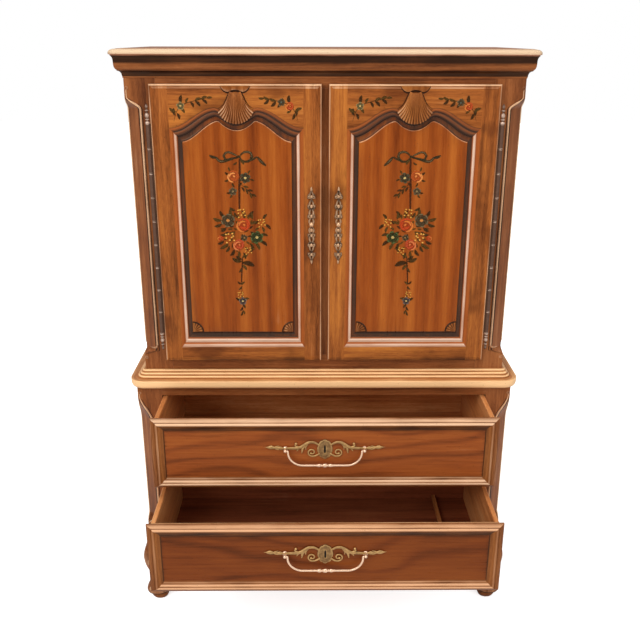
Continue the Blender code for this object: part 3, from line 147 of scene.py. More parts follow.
# Corner posts: chamfer, the heights of its ends, and how far it takes to open at each
POSTS = {"upper": (0.034, 0.8360, 1.5570, 0.0140, 0.0320), "lower": (0.032, 0.2830, 0.7160, 0.0200, 0.0850)}
# Width of the dark line of painted shade beside each bead, and the most that a chamfer's edge is eased
CHAMFER_LINE = 0.0026
POST_BEAD = 0.0027
SIDE_BEAD = 0.0034
BEAD_INSET = 0.0045
SCROLL_FOOT = 0.8670
SCROLL_DROP = 0.0135
HOOK_RISE = 0.018
CURL_RISE = 0.004
CURL_RADIUS = 0.0052
CURL_INSET = 0.0062
CURL_LIFT = 0.0035
BEAD_PAST_END = 0.002

# Feet
KNEE_OUT = 0.0222
TOE_OUT = 0.0222
PAD_OUT = 0.0100
KNEE_TOP = 0.2220
ANKLE = 0.0770
ANKLE_NIP = 0.0130
PAD_TOP = 0.0260
PAD_JOINT = 0.0004
# A foot's stations from the floor: height (the case's underside comes last), width and depth
FOOT_HEIGHTS = (0.0, 0.013, PAD_TOP, PAD_TOP + PAD_JOINT, 0.060, ANKLE, 0.168)
FOOT_WIDTHS = (0.0415, 0.0470, 0.0415, 0.0500, 0.0440, 0.0430, 0.0710, 0.0710)
FOOT_DEPTHS = (0.0415, 0.0470, 0.0415, 0.0500, 0.0440, 0.0430, 0.0620, 0.0620)
# How square a foot is at its heights: 2 is an ellipse, and more is squarer
SQUARE_HEIGHTS = (0.0, PAD_TOP, ANKLE, 0.15, KNEE_TOP)
SQUARENESS = (2.2, 2.2, 3.2, 4.5, 12.0, 60.0)
# Carved scrolls of a front foot: height, size and inset
FOOT_SCROLLS = ((0.150, 0.0200, 0.016), (0.046, 0.0130, 0.010))

# Drawer fronts
LIP_OVER_OPENING = 0.0060
BORDER_DEPTH = 0.0070
# Rows of (inset at the bottom, at the sides, at the top, depth, tone at the bottom, at the sides, at the top).
# Besides rubbing on the bead, the tones paint highlights on faces turned up and shade on faces turned down
DRAWER_BORDER = ((0.0000, 0.0000, 0.0000, 0.0100, -0.30, -0.10, 0.10),
                 (0.0000, 0.0000, 0.0000, 0.0052, -0.30, 0.05, 0.35),
                 (0.0008, 0.0012, 0.0012, 0.0044, -0.20, 0.20, 0.42),
                 (0.0035, 0.0060, 0.0060, 0.0027, 0.00, 0.05, 0.70),
                 (0.0060, 0.0108, 0.0108, 0.0011, 0.15, -0.05, 0.60),
                 (0.0066, 0.0116, 0.0116, 0.0020, 0.10, -0.40, 0.00),
                 (0.0072, 0.0128, 0.0128, 0.0022, 0.25, -0.35, 0.20),
                 (0.0082, 0.0143, 0.0143, 0.0007, 0.85, 0.10, 0.90),
                 (0.0105, 0.0176, 0.0176, 0.0000, 1.00, 0.38, 1.00),
                 (0.0132, 0.0208, 0.0208, 0.0006, 0.65, 0.12, 0.60),
                 (0.0145, 0.0222, 0.0222, 0.0024, 0.15, -0.35, 0.10),
                 (0.0155, 0.0234, 0.0234, 0.0027, 0.40, -0.15, -0.30),
                 (0.0180, 0.0262, 0.0262, 0.0033, 0.85, 0.10, -0.50),
                 (0.0212, 0.0288, 0.0284, 0.0040, 0.90, 0.15, -0.58),
                 (0.0228, 0.0300, 0.0300, 0.0050, 0.20, -0.18, -0.62),
                 (0.0262, 0.0335, 0.0343, 0.0056, 0.35, -0.35, -0.62),
                 (0.0288, 0.0350, 0.0352, 0.0055, 0.55, -0.45, -0.62),
                 (0.0312, 0.0363, 0.0363, 0.0065, -0.05, -0.60, -0.62),
                 (0.0335, 0.0375, 0.0375, 0.0070, -0.20, -0.65, -0.62),
                 (0.0335, 0.0375, 0.0375, 0.0100, -0.50, -0.50, -0.62))
# Rows of (how far in from the border, tone at the bottom, at the sides, at the top); the tones paint shade
# along the field's edges, darkest under the border's top
VENEER_EDGE = ((0.000, -0.10, -0.50, -0.60), (0.003, -0.05, -0.30, -0.48), (0.008, 0.00, -0.15, -0.30),
               (0.020, 0.00, 0.00, -0.12), (0.035, 0.00, 0.00, 0.00))

# Drawer pulls
POST_SPACING = 0.2190
PULL_SPAN = 0.3340
BALL_RADIUS = 0.00459
PULL_ARM_START = 0.0160
# Leaves on a pull's arm: points (beyond the arm's start, up from its middle) and a width
PULL_LEAVES = ((((0.036, 0.0165), (0.045, 0.0030), (0.048, -0.0125)), 0.0044),
               (((0.030, 0.0190), (0.037, 0.0080), (0.037, -0.0020)), 0.0030),
               (((0.050, 0.0065), (0.058, -0.0005), (0.062, -0.0065)), 0.0028))
BAIL_DROP = 0.0450
BAIL_WIRE = 0.0028
BAIL_FLAT = 0.0600
# Beads on a bail's grip: distance from its middle, radius and half length
BAIL_BEADS = ((0.0, 0.0058, 0.0062), (0.0092, 0.0036, 0.0016), (0.0158, 0.0050, 0.0046),
              (0.0215, 0.0036, 0.0014))
ESCUTCHEON_HALF = (0.0192, 0.0295)
ESCUTCHEON_OVAL = (0.0060, 0.0150)
KEYHOLE = (0.0026, 0.0120)
KEYHOLE_RISE = 0.0010

# Cornice, from the frieze up: (share of its reach, share of its height, tone), and a hollow by its two ends
# and its tone. The low tones paint shade in both hollows and at the round's upper and lower edges
CORNICE_REACH = 0.82
CORNICE_FOOT = ((0.05, 0.0, 0.1), (0.07, 0.075, 0.0))
CORNICE_LOW_HOLLOW = ((0.09, 0.085), (0.474, 0.33), -0.75)
CORNICE_ROUND = ((0.526, 0.345, -0.55), (0.526, 0.36, -0.45), (0.545, 0.375, -0.45), (0.60, 0.395, -0.20),
                 (0.66, 0.425, -0.02), (0.72, 0.47, 0.0), (0.765, 0.53, -0.16), (0.79, 0.60, -0.30),
                 (0.800, 0.67, -0.45), (0.805, 0.73, -0.7))
CORNICE_TOP_HOLLOW = ((0.805, 0.75), (1.0, 1.0), -0.8)

# Waist board and top board
WAIST_NOSE = 0.024
WAIST_BELLY = 0.0030
WAIST_UNDERSIDE = 0.0150
WAIST_CORNER = 0.026
WAIST_REEDS = 3
TOP_NOSE_REACH = 0.018
TOP_FILLET = 0.0030
TOP_BEND = 0.0075
TOP_CORNER = 0.003
TOP_FACE_RISE = 0.0006
TOP_FACE_INSET = 0.0015
TOP_FACE_THICKNESS = 0.003

SIDES = (("left", -1), ("right", 1))


class Shape:
    """Points and four-sided faces, with each point's place on the finish (UV, metres) and its tone.

    Tone is 0 on plain finish, down to -1 where glaze and painted shade darken it, as in a groove,
    and up to 1 where rubbing and painted highlights lighten it, as on an edge.
    """

    def __init__(self, points, faces, places, tones):
        self.points = points
        self.faces = faces
        self.places = places
        self.tones = tones

    def __add__(self, other):
        faces = np.vstack((self.faces, other.faces + len(self.points)))
        points = np.vstack((self.points, other.points))
        places = np.vstack((self.places, other.places))
        return Shape(points, faces, places, np.concatenate((self.tones, other.tones)))

    def mirrored(self):
        """The same shape on the other side of the plane X = 0."""
        return Shape(self.points * (-1, 1, 1), self.faces[:, ::-1], self.places, self.tones)


def joined(shapes):
    """Several shapes as one."""
    total = shapes[0]
    for shape in shapes[1:]:
        total = total + shape
    return total


def run_length(points, axis):
    """Length run so far along one direction of a grid, counted from its middle."""
    steps = np.linalg.norm(np.diff(points, axis=axis), axis=2)
    zero = np.zeros_like(np.take(steps, [0], axis=axis))
    run = np.concatenate((zero, np.cumsum(steps, axis=axis)), axis=axis)
    return run - run.max(axis=axis, keepdims=True) / 2


def grid(points, tones=0.0):
    """A surface through rows and columns of points; its UV place is the length run along each."""
    rows, columns = points.shape[:2]
    index = np.arange(rows * columns).reshape(rows, columns)
    corners = (index[:-1, :-1], index[:-1, 1:], index[1:, 1:], index[1:, :-1])
    faces = np.stack(corners, axis=-1).reshape(-1, 4)
    places = np.stack((run_length(points, 1), run_length(points, 0)), axis=-1).reshape(-1, 2)
    tones = np.broadcast_to(tones, (rows, columns)).astype(float).ravel()
    return Shape(points.reshape(-1, 3), faces, places, tones)


def with_ends(points):
    """A grid of closed rings with one more row at each end, drawn in to the ring's middle."""
    middles = points[:, :-1].mean(axis=1, keepdims=True)
    first = np.broadcast_to(middles[:1], points[:1].shape)
    last = np.broadcast_to(middles[-1:], points[-1:].shape)
    return np.concatenate((first, points, last))


def with_end_values(values):
    """Row values stretched to the rows that with_ends adds."""
    values = np.asarray(values, float)
    return np.concatenate((values[:1], values, values[-1:]))


def smooth_line(knots, count):
    """A curve through chosen points: cubic pieces whose slope at a point comes from its neighbours."""
    knots = np.asarray(knots, float)
    steps = np.linalg.norm(np.diff(knots, axis=0), axis=1)
    marks = np.concatenate(([0.0], np.cumsum(steps)))
    slopes = np.gradient(knots, marks, axis=0)
    where = np.linspace(0.0, marks[-1], count)
    piece = np.clip(np.searchsorted(marks, where, side="right") - 1, 0, len(steps) - 1)
    span = steps[piece][:, None]
    t = (where - marks[piece])[:, None] / span
    start = (1 + 2 * t) * (1 - t) ** 2 * knots[piece] + t * (1 - t) ** 2 * span * slopes[piece]
    end = t * t * (3 - 2 * t) * knots[piece + 1] - t * t * (1 - t) * span * slopes[piece + 1]
    return start + end


def half_wave(fraction):
    """A smooth step from 0 to 1: half a cosine wave."""
    return (1 - np.cos(np.pi * np.clip(fraction, 0, 1))) / 2


def bump_wave(fraction):
    """Rises from 0 to 1 in the middle and falls again: half a sine wave."""
    return np.sin(np.pi * np.clip(fraction, 0, 1))


def tube(path, radius, sides=12, flat=1.0, tones=0.0):
    """A rod along a path in an upright plane: rings across the path, pressed flat in depth by a factor."""
    path = np.asarray(path, float)
    radius = np.broadcast_to(radius, len(path))
    heading = np.gradient(path, axis=0)
    heading /= np.linalg.norm(heading, axis=1, keepdims=True)
    sideways = np.cross(heading, (0.0, 1.0, 0.0))
    sideways /= np.linalg.norm(sideways, axis=1, keepdims=True)
    angle = np.linspace(0, 2 * np.pi, sides + 1)
    ring = np.cos(angle)[None, :, None] * sideways[:, None] + flat * np.sin(angle)[None, :, None] * (0, 1, 0)
    points = path[:, None] + radius[:, None, None] * ring
    tones = with_end_values(np.broadcast_to(tones, len(path)))
    return grid(with_ends(points), tones[:, None])


def turned(profile, centre, axis="Z", steps=32):
    """A turned piece: (radius, height, tone) stations carried round an axis through a centre."""
    profile = np.asarray(profile, float)
    angle = np.linspace(0, 2 * np.pi, steps + 1)
    wide = profile[:, 0, None] * np.cos(angle)
    deep = profile[:, 0, None] * np.sin(angle)
    high = np.broadcast_to(profile[:, 1, None], wide.shape)
    order = {"Z": (wide, deep, high), "Y": (wide, high, deep), "X": (high, wide, deep)}[axis]
    return grid(np.stack(order, axis=-1) + np.asarray(centre), profile[:, 2, None])


def ball(centre, radius, stretch=(1.0, 1.0, 1.0), tone=0.4):
    """A ball, drawn out along each axis by a factor."""
    angle = np.linspace(0, np.pi, 13)
    profile = np.stack((np.sin(angle), np.cos(angle), np.full(13, tone)), axis=-1)
    shape = turned(profile, (0, 0, 0), steps=20)
    shape.points = shape.points * radius * np.asarray(stretch) + np.asarray(centre)
    return shape


def board(low, high, tone=0.0):
    """A plain board between two corners: four sides as one strip of rings, and two ends."""
    (x0, y0, z0), (x1, y1, z1) = low, high
    ring = np.array([(x0, y0), (x1, y0), (x1, y1), (x0, y1), (x0, y0)])
    points = np.array([[(x, y, z) for x, y in ring] for z in (z0, z1)])
    return grid(with_ends(points), tone)


def make_piece(name, shape, finish, body, nodes=(), sharp=40, paint=None):
    """Puts a shape in a mesh, closes its seams, and makes it ride on a body in place of its nodes."""
    mesh = bpy.data.meshes.new(name)
    mesh.from_pydata(shape.points.tolist(), [], shape.faces.tolist())
    corner_points = np.empty(len(mesh.loops), int)
    mesh.loops.foreach_get("vertex_index", corner_points)
    layer = mesh.uv_layers.new(name="finish")
    layer.data.foreach_set("uv", shape.places[corner_points].astype(np.float32).ravel())
    mesh.attributes.new("tone", "FLOAT", "POINT").data.foreach_set("value", shape.tones.astype(np.float32))
    if paint is not None:
        colours = mesh.attributes.new("paint", "FLOAT_COLOR", "POINT")
        colours.data.foreach_set("color", paint.astype(np.float32).ravel())
    else:
        close_seams(mesh)
    piece = bpy.data.objects.new(name, mesh)
    bpy.context.scene.collection.objects.link(piece)
    mesh.shade_smooth()
    mesh.set_sharp_from_angle(angle=math.radians(sharp))
    mesh.materials.append(finish)
    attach(piece, body)
    if nodes:
        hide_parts(*nodes)
    return piece


def close_seams(mesh):
    """Joins points that meet, drops faces with no area, and points every face outwards."""
    work = bmesh.new()
    work.from_mesh(mesh)
    bmesh.ops.remove_doubles(work, verts=work.verts, dist=1e-6)
    bmesh.ops.dissolve_degenerate(work, edges=work.edges, dist=1e-7)
    bmesh.ops.recalc_face_normals(work, faces=work.faces)
    work.to_mesh(mesh)
    work.free()


def stain(red, green, blue):
    """A colour written as on screen, 0 to 255, as the linear values that a shader takes."""
    shares = np.array((red, green, blue)) / 255
    linear = np.where(shares <= 0.04045, shares / 12.92, ((shares + 0.055) / 1.055) ** 2.4)
    return (*linear.tolist(), 1.0)


class Value:
    """A socket's value in a finish; arithmetic on it adds Math nodes."""

    def __init__(self, finish, socket):
        self.finish = finish
        self.socket = socket

    def math(self, operation, *values):
        """One Math node on the given values."""
        return self.finish.node("ShaderNodeMath", {"operation": operation}, dict(enumerate(values)))

    def __add__(self, other):
        return self.math("ADD", self, other)

    def __sub__(self, other):
        return self.math("SUBTRACT", self, other)

    def __rsub__(self, other):
        return self.math("SUBTRACT", other, self)

    def __mul__(self, other):
        return self.math("MULTIPLY", self, other)

    def __pow__(self, other):
        return self.math("POWER", self, other)

    def __abs__(self):
        return self.math("ABSOLUTE", self)

    __radd__ = __add__
    __rmul__ = __mul__

    def below(self, limit):
        """1 where the value is under a limit, and 0 elsewhere."""
        return self.math("LESS_THAN", self, limit)

    def sine(self):
        """The sine of the value, in radians."""
        return self.math("SINE", self)

    def ease(self, low, high):
        """A smooth step from 0 at low to 1 at high."""
        settings = {"interpolation_type": "SMOOTHSTEP"}
        sockets = {"Value": self, "From Min": low, "From Max": high}
        return self.finish.node("ShaderNodeMapRange", settings, sockets)


class Finish:
    """A material and its nodes."""

    def __init__(self, name):
        self.material = bpy.data.materials.new(name)
        self.material.use_nodes = True
        self.tree = self.material.node_tree
        self.shader = self.tree.nodes["Principled BSDF"]

    def node(self, kind, settings=None, sockets=None, output=0):
        """Adds a node: its settings first, then the value or link of each socket."""
        made = self.tree.nodes.new(kind)
        for name, value in (settings or {}).items():
            if name == "stops":
                self.set_stops(made.color_ramp, value)
            else:
                setattr(made, name, value)
        for name, value in (sockets or {}).items():
            if isinstance(value, Value):
                self.tree.links.new(value.socket, made.inputs[name])
            else:
                made.inputs[name].default_value = value
        return Value(self, made.outputs[output])

    @staticmethod
    def set_stops(ramp, stops):
        """Places a ramp's stops, each a place from 0 to 1 and a colour."""
        while len(ramp.elements) < len(stops):
            ramp.elements.new(1.0)
        for element, (place, colour) in zip(ramp.elements, stops):
            element.position = place
            element.color = colour

    def split(self, vector):
        """The three parts of a vector."""
        return [self.node("ShaderNodeSeparateXYZ", None, {0: vector}, part) for part in range(3)]

    def vector(self, x, y, z):
        """Three values as one vector."""
        return self.node("ShaderNodeCombineXYZ", None, {0: x, 1: y, 2: z})

    def place(self, source):
        """The parts of the Object or UV place."""
        return self.split(self.node("ShaderNodeTexCoord", None, None, source))

    def attribute(self, name, output):
        """A value kept on the mesh's points."""
        return self.node("ShaderNodeAttribute", {"attribute_name": name}, None, output)

    def noise(self, vector, scale=1.0, detail=3.0, roughness=0.5):
        """Soft noise from about 0.3 to 0.7."""
        sockets = {"Vector": vector, "Scale": scale, "Detail": detail, "Roughness": roughness}
        return self.node("ShaderNodeTexNoise", None, sockets, "Fac")

    def ramp(self, value, stops):
        """A colour from a value by stops."""
        return self.node("ShaderNodeValToRGB", {"stops": stops}, {0: value})

    def mix(self, share, first, second):
        """The first colour turned into the second by a share."""
        return self.node("ShaderNodeMix", {"data_type": "RGBA"}, {0: share, 6: first, 7: second}, 2)

    def set(self, **sockets):
        """Sets or links sockets of the shader; words are joined by underscores."""
        for name, value in sockets.items():
            target = self.shader.inputs[name.replace("_", " ")]
            if isinstance(value, Value):
                self.tree.links.new(value.socket, target)
            else:
                target.default_value = value

    def relief(self, height, distance, strength=1.0):
        """Tilts the surface by a height."""
        sockets = {"Height": height, "Distance": distance, "Strength": strength}
        self.set(Normal=self.node("ShaderNodeBump", None, sockets))


def grain_axes(finish, grain):
    """Places along and across the grain and in depth, from UV or from the named long axis.

    On a door the grain runs upright on its stiles and level between them.
    """
    if grain == "uv":
        u, v, _ = finish.place("UV")
        return u, v, v
    x, y, z = finish.place("Object")
    if grain == "door":
        rail = abs(abs(x) - DOOR_MIDDLE).below(DOOR_HALF_OPENING)
        return z + (x - z) * rail, x + (z - x) * rail, y
    return {"x": (x, z, y), "z": (z, x, y), "y": (y, x, z)}[grain]


def wood(name, grain, stains, glaze_and_shade=(44, 23, 14), rub_and_highlight=(226, 182, 142), gloss=0.36, figure=None, dirt=0.5):
    """Stained and lacquered wood.

    The figure adds noise drawn out along the grain in three sizes: broad bands, streaks and fine
    fibres. Its sum picks a colour between three stains, and dirt turns slow patches darker. The tone
    kept on the mesh then turns it to the dark glaze colour, as glaze and painted shade in grooves and
    on faces turned down, or to the rub colour, as rubbed wood and painted highlights on edges and on
    faces turned up, with streaks breaking the line between them. Small round specks lie over all.
    """
    f = Finish(name)
    along, across, depth = grain_axes(f, grain)
    bands = f.noise(f.vector(along * 1.6, across * 11, depth * 11), detail=2)
    streaks = f.noise(f.vector(along * 5, across * 95, depth * 95), detail=4, roughness=0.6)
    fibres = f.noise(f.vector(along * 60, across * 900, depth * 900), detail=2)
    blotches = f.noise(f.vector(along * 7, across * 9, depth * 9), detail=3)
    amount = bands * 0.42 + streaks * 0.36 + fibres * 0.22
    if figure:
        amount = figure(f, along, across, amount)
    dark, middle, light = [stain(*colour) for colour in stains]
    colour = f.ramp(amount, [(0.36, dark), (0.49, middle), (0.64, light)])
    colour = f.mix(blotches.ease(0.50, 0.34) * dirt, colour, dark)
    tone = f.attribute("tone", "Fac") + (streaks - 0.5) * 0.55 + (blotches - 0.5) * 0.6
    # Low tone mixes in glaze and painted shade, high tone rubbed wood and painted highlights
    colour = f.mix((0 - tone).ease(0.12, 0.85), colour, stain(*glaze_and_shade))
    colour = f.mix(tone.ease(0.10, 0.95), colour, stain(*rub_and_highlight))
    specks = f.node("ShaderNodeTexVoronoi", None, {"Vector": f.vector(along, across, depth), "Scale": 75.0})
    colour = f.mix(specks.ease(0.10, 0.04) * 0.7, colour, stain(*glaze_and_shade))
    f.set(Base_Color=colour, Roughness=gloss + (streaks - 0.5) * 0.25)
    f.set(Specular_IOR_Level=0.22, Specular_Tint=(1.0, 0.66, 0.42, 1.0))
    f.relief(streaks * 0.5 + fibres * 0.5, 0.0004, 0.5)
    return f.material


def ribbon_figure(f, along, across, amount):
    """Upright ribbon stripes of uneven width, each with short cross-lit streaks."""
    stripes = f.noise(f.vector(along * 0.8, across * 34, 0.0), detail=0)
    flecks = f.noise(f.vector(along * 14, across * 160, 0.0), detail=2)
    return amount * 0.30 + stripes * 0.36 + flecks * 0.12 + 0.115


def cathedral_figure(f, along, across, amount):
    """Nested arches: a sine of the height bent by slow noise, sharpened to thin dark lines."""
    bend = f.noise(f.vector(along * 1.5, across * 4.0, 0.0), detail=2, roughness=0.4)
    rings = (bend * 44 + across * 90).sine() * 0.5 + 0.5
    streaks = f.noise(f.vector(along * 9, across * 150, 0.0), detail=3)
    return amount * 0.36 + bend * 0.30 + streaks * 0.16 + 0.12 - (1 - rings) ** 3 * 0.09


def metal(name, low, high, roughness=0.34, patina=0.55):
    """Cast metal: dull patina where the tone is low and in patches, worn bright and with painted highlights
    where the tone is high, and near black as painted shade where it is lowest.
    """
    f = Finish(name)
    x, y, z = f.place("Object")
    patches = f.noise(f.vector(x, y, z), scale=110.0, detail=3)
    grit = f.noise(f.vector(x, y, z), scale=900.0, detail=2)
    tone = f.attribute("tone", "Fac")
    wear_and_highlight = (tone + (patches - 0.5) * 0.9).ease(-0.45, patina)
    # Tone below about -0.75 turns near black as painted shade, as in a keyhole
    colour = f.mix((0 - tone).ease(0.75, 0.95), f.mix(wear_and_highlight, stain(*low), stain(*high)), stain(16, 10, 8))
    f.set(Base_Color=colour, Metallic=0.6)
    f.set(Roughness=roughness + (1 - wear_and_highlight) * 0.22 + (grit - 0.5) * 0.2)
    f.relief(grit, 0.0002, 0.4)
    return f.material


def brushed_paint(name):
    """Thin decorative paint: the colour kept on each stroke, broken up by the wood's pores."""
    f = Finish(name)
    x, y, z = f.place("Object")
    pores = f.noise(f.vector(x * 700, y, z * 160), detail=3)
    colour = f.attribute("paint", "Color")
    cover = f.attribute("paint", "Alpha")
    f.set(Base_Color=f.mix(pores.ease(0.55, 0.75) * 0.4, colour, stain(120, 62, 24)))
    f.set(Roughness=0.5, Specular_IOR_Level=0.1, Alpha=cover * (0.72 + pores.ease(0.30, 0.55) * 0.28))
    return f.material


HONEY = ((84, 38, 14), (146, 80, 34), (186, 112, 46))
CASE_RED = ((80, 40, 22), (132, 74, 38), (164, 102, 58))
RIBBON = ((96, 38, 10), (140, 66, 20), (172, 94, 34))
UPPER_VENEER = ((88, 40, 16), (137, 67, 27), (165, 90, 37))
# The lower drawer's veneer is stained darker as painted shade, for a front that tips down away from the light
SHADED_LOWER_VENEER = ((70, 29, 8), (110, 50, 17), (134, 68, 24))
BORDER_WOOD = ((74, 36, 16), (120, 66, 30), (156, 96, 48))
NOSE = ((176, 122, 76), (212, 164, 116), (232, 190, 144))
TOP_NOSE = ((156, 95, 64), (188, 128, 98), (206, 149, 122))
DRAWER_STOCK = ((150, 84, 42), (196, 124, 70), (222, 160, 104))
INNER_STOCK = ((96, 46, 28), (136, 70, 42), (162, 92, 56))
GROOVE = (60, 44, 37)

finishes = {
    "door_frame_upright": wood("door_frame_upright", "door", HONEY, dirt=0.6),
    "door_moulding": wood("door_moulding", "uv", ((112, 50, 18), (148, 74, 30), (170, 92, 40)), glaze_and_shade=GROOVE,
                          rub_and_highlight=(222, 192, 168), dirt=0.2),
    "ribbon_panel": wood("ribbon_panel", "z", RIBBON, glaze_and_shade=GROOVE, figure=ribbon_figure, gloss=0.30,
                         dirt=0.1),
    "carving": wood("carving", "z", ((84, 40, 16), (134, 74, 32), (168, 104, 50)), dirt=0.2),
    "case_upright": wood("case_upright", "z", CASE_RED, dirt=0.25),
    "case_level": wood("case_level", "x", CASE_RED, dirt=0.35),
    "case_deep": wood("case_deep", "y", CASE_RED, dirt=0.35),
    "case_moulding": wood("case_moulding", "uv", CASE_RED, dirt=0.3),
    # Pale stains and rub colour paint a highlight along the top board's nose, besides its rubbing
    "rubbed_highlit_nose": wood("rubbed_highlit_nose", "uv", TOP_NOSE, rub_and_highlight=(202, 174, 142), dirt=0.45),
    # The top face's stains are lighter than the case's, as a painted sheen
    "top_face": wood("top_face", "x", ((100, 56, 32), (150, 92, 54), (182, 122, 76)), dirt=0.2),
    # Pale stains and rub colour paint highlights on the waist's nose and reeds, besides rubbing
    "waist_moulding": wood("waist_moulding", "uv", ((136, 76, 36), (178, 112, 58), (206, 150, 92)),
                           glaze_and_shade=(84, 42, 24), rub_and_highlight=(246, 198, 144), dirt=0.3),
    "upper_drawer_border": wood("upper_drawer_border", "uv", BORDER_WOOD, rub_and_highlight=(230, 186, 148), dirt=0.4),
    # The lower border's darker rub colour is painted shade on the lower drawer's front
    "lower_drawer_border": wood("lower_drawer_border", "uv", BORDER_WOOD, rub_and_highlight=(222, 168, 126), dirt=0.4),
    "upper_drawer_veneer": wood("upper_drawer_veneer", "x", UPPER_VENEER, figure=cathedral_figure, gloss=0.30,
                                dirt=0.05),
    "lower_drawer_veneer": wood("lower_drawer_veneer", "x", SHADED_LOWER_VENEER, figure=cathedral_figure, gloss=0.30,
                                dirt=0.05),
    "drawer_edge": wood("drawer_edge", "x", NOSE, dirt=0.2, gloss=0.42),
    "drawer_side": wood("drawer_side", "y", DRAWER_STOCK, dirt=0.15, gloss=0.48),
    "drawer_level": wood("drawer_level", "x", DRAWER_STOCK, dirt=0.15, gloss=0.48),
    "inner_level": wood("inner_level", "x", INNER_STOCK, dirt=0.15, gloss=0.55),
    "antique_brass": metal("antique_brass", (98, 66, 36), (196, 154, 96)),
    "worn_highlit_brass": metal("worn_highlit_brass", (42, 24, 14), (206, 162, 122), patina=1.0),
    "bright_brass": metal("bright_brass", (132, 98, 70), (238, 200, 168), roughness=0.26, patina=0.2),
    "dark_bronze": metal("dark_bronze", (96, 68, 52), (196, 168, 148), roughness=0.40, patina=0.75),
    "paint": brushed_paint("paint"),
}


MITRED = np.concatenate(([-1.0, -0.996], np.linspace(-0.92, 0.92, 11), [0.996, 1.0]))


def rectangle(half, low, high, tops):
    """The four sides of a rectangle: along the bottom, up, back along the top, and down.

    Points stand close by each corner, so that the tone of one side doesn't run into the next.
    """
    count = len(MITRED)
    bottom = np.stack((MITRED * half, np.full(count, low)), axis=-1)
    right = np.stack((np.full(count, half), low + (high - low) * (MITRED + 1) / 2), axis=-1)
    top = np.stack((tops * half, np.full(len(tops), high)), axis=-1)
    return [bottom, right, top, right[::-1] * (-1, 1)]


def arch_places():
    """Shares of the half width at which an arch has points, right to left, closer by the middle."""
    right = np.sin(np.linspace(np.pi / 2, 0, 40))
    return np.concatenate((right, -right[-2::-1]))


def arched(half, low, arch):
    """The four sides of an arched opening.

    From a shoulder the arch climbs to a peak, part straight and part as half a cosine wave. Between
    the two peaks it dips, as a cosine wave where cusp is 0 and as a parabola with sharp peaks at 1.
    """
    across = arch_places() * half
    distance = np.abs(across)
    climb = np.clip((half - distance) / (half - arch["peak"]), 0, 1)
    climb = climb * 0.25 * arch["cusp"] + half_wave(climb) * (1 - 0.25 * arch["cusp"])
    share = np.clip(distance / arch["peak"], 0, 1)
    dip = (1 - share ** 2) * arch["cusp"] + half_wave(1 - share) * (1 - arch["cusp"])
    height = arch["shoulder"] + arch["rise"] * climb - arch["dip"] * dip
    sides = rectangle(half, low, arch["shoulder"], arch_places())
    sides[2] = np.stack((across, height), axis=-1)
    return sides


def between(outer, inner, share):
    """Sides part of the way from one outline to another."""
    return [a + (b - a) * share for a, b in zip(outer, inner)]


def lofted(rings, origin, closed_middle=False):
    """A surface through outlines: each ring holds four sides, a depth and a tone, or a tone a side.

    The origin is the point from which the outlines' sizes and depths count.
    """
    x, y, z = origin
    parts = []
    for side in range(4):
        rows = []
        tones = []
        for sides, depth, tone in rings:
            flat = sides[side]
            rows.append(np.stack((x + flat[:, 0], np.full(len(flat), y + depth), z + flat[:, 1]), axis=-1))
            tones.append(tone[side] if isinstance(tone, tuple) else tone)
        if closed_middle:
            middle = rows[-1].mean(axis=0) * (0, 1, 0) + (x, 0, z + closed_middle)
            rows.append(np.broadcast_to(middle, rows[-1].shape))
            rows.insert(0, np.broadcast_to((x, rows[0][0, 1], z + closed_middle), rows[0].shape))
            tones = [tones[0]] + tones + [tones[-1]]
        parts.append(grid(np.stack(rows), np.asarray(tones)[:, None]))
    return joined(parts)


def door_outlines(width):
    """Outlines of a door: its arched opening and the line where its panel's field begins."""
    half = width / 2 - DOOR_STILE
    opening = arched(half, DOOR_BOTTOM_RAIL, ARCH)
    field = arched(half - MOULDING_WIDTH, PANEL_BOTTOM, PANEL_ARCH)
    return opening, field


def around(bottom, sides, top):
    """A row's three tones as one for each of the four sides of an outline."""
    return bottom, sides, top, sides


def outline_rows(outer, inner, rows):
    """Rings for a loft from rows of share, depth and three tones, between two outlines."""
    return [(between(outer, inner, share), depth, around(*tones)) for share, depth, *tones in rows]


def door_frame_shape(width, height, thick, origin):
    """A door's stiles and rails: a rounded rim, a fine quirk, a flat field and the opening's edge."""
    opening, _ = door_outlines(width)
    rings = []
    for inset, depth, *tones in [(0.0, thick, 0.0, 0.0, 0.0), *DOOR_RIM]:
        outline = rectangle(width / 2 - inset, inset, height - inset, arch_places())
        rings.append((outline, depth, around(*tones)))
    back = rings[0]
    flat = rings[-1][0]
    for share, *tones in DOOR_FLAT:
        rings.append((between(flat, opening, share), DOOR_FIELD_DROP, around(*tones)))
    return lofted(rings + [(opening, thick, -0.2), back], origin)


def door_moulding_shape(width, origin):
    """The arched moulding: a round, a quirk, a broad bead and the near half of the groove. Besides glaze and
    rubbing, its tones paint highlights low down, where it faces up, and shade along the arch and in the
    groove.
    """
    opening, field = door_outlines(width)
    rings = outline_rows(opening, field, DOOR_MOULDING)
    return lofted(rings + rings[:1], origin)


def door_panel_shape(width, origin):
    """The raised panel: the far half of the groove, dark with glaze and painted shade, a rubbed edge with a
    painted highlight along its top and painted shade along its bottom, and the flat field, a little shaded
    near its edges.
    """
    opening, field = door_outlines(width)
    return lofted(outline_rows(opening, field, DOOR_PANEL), origin, closed_middle=PANEL_MIDDLE)


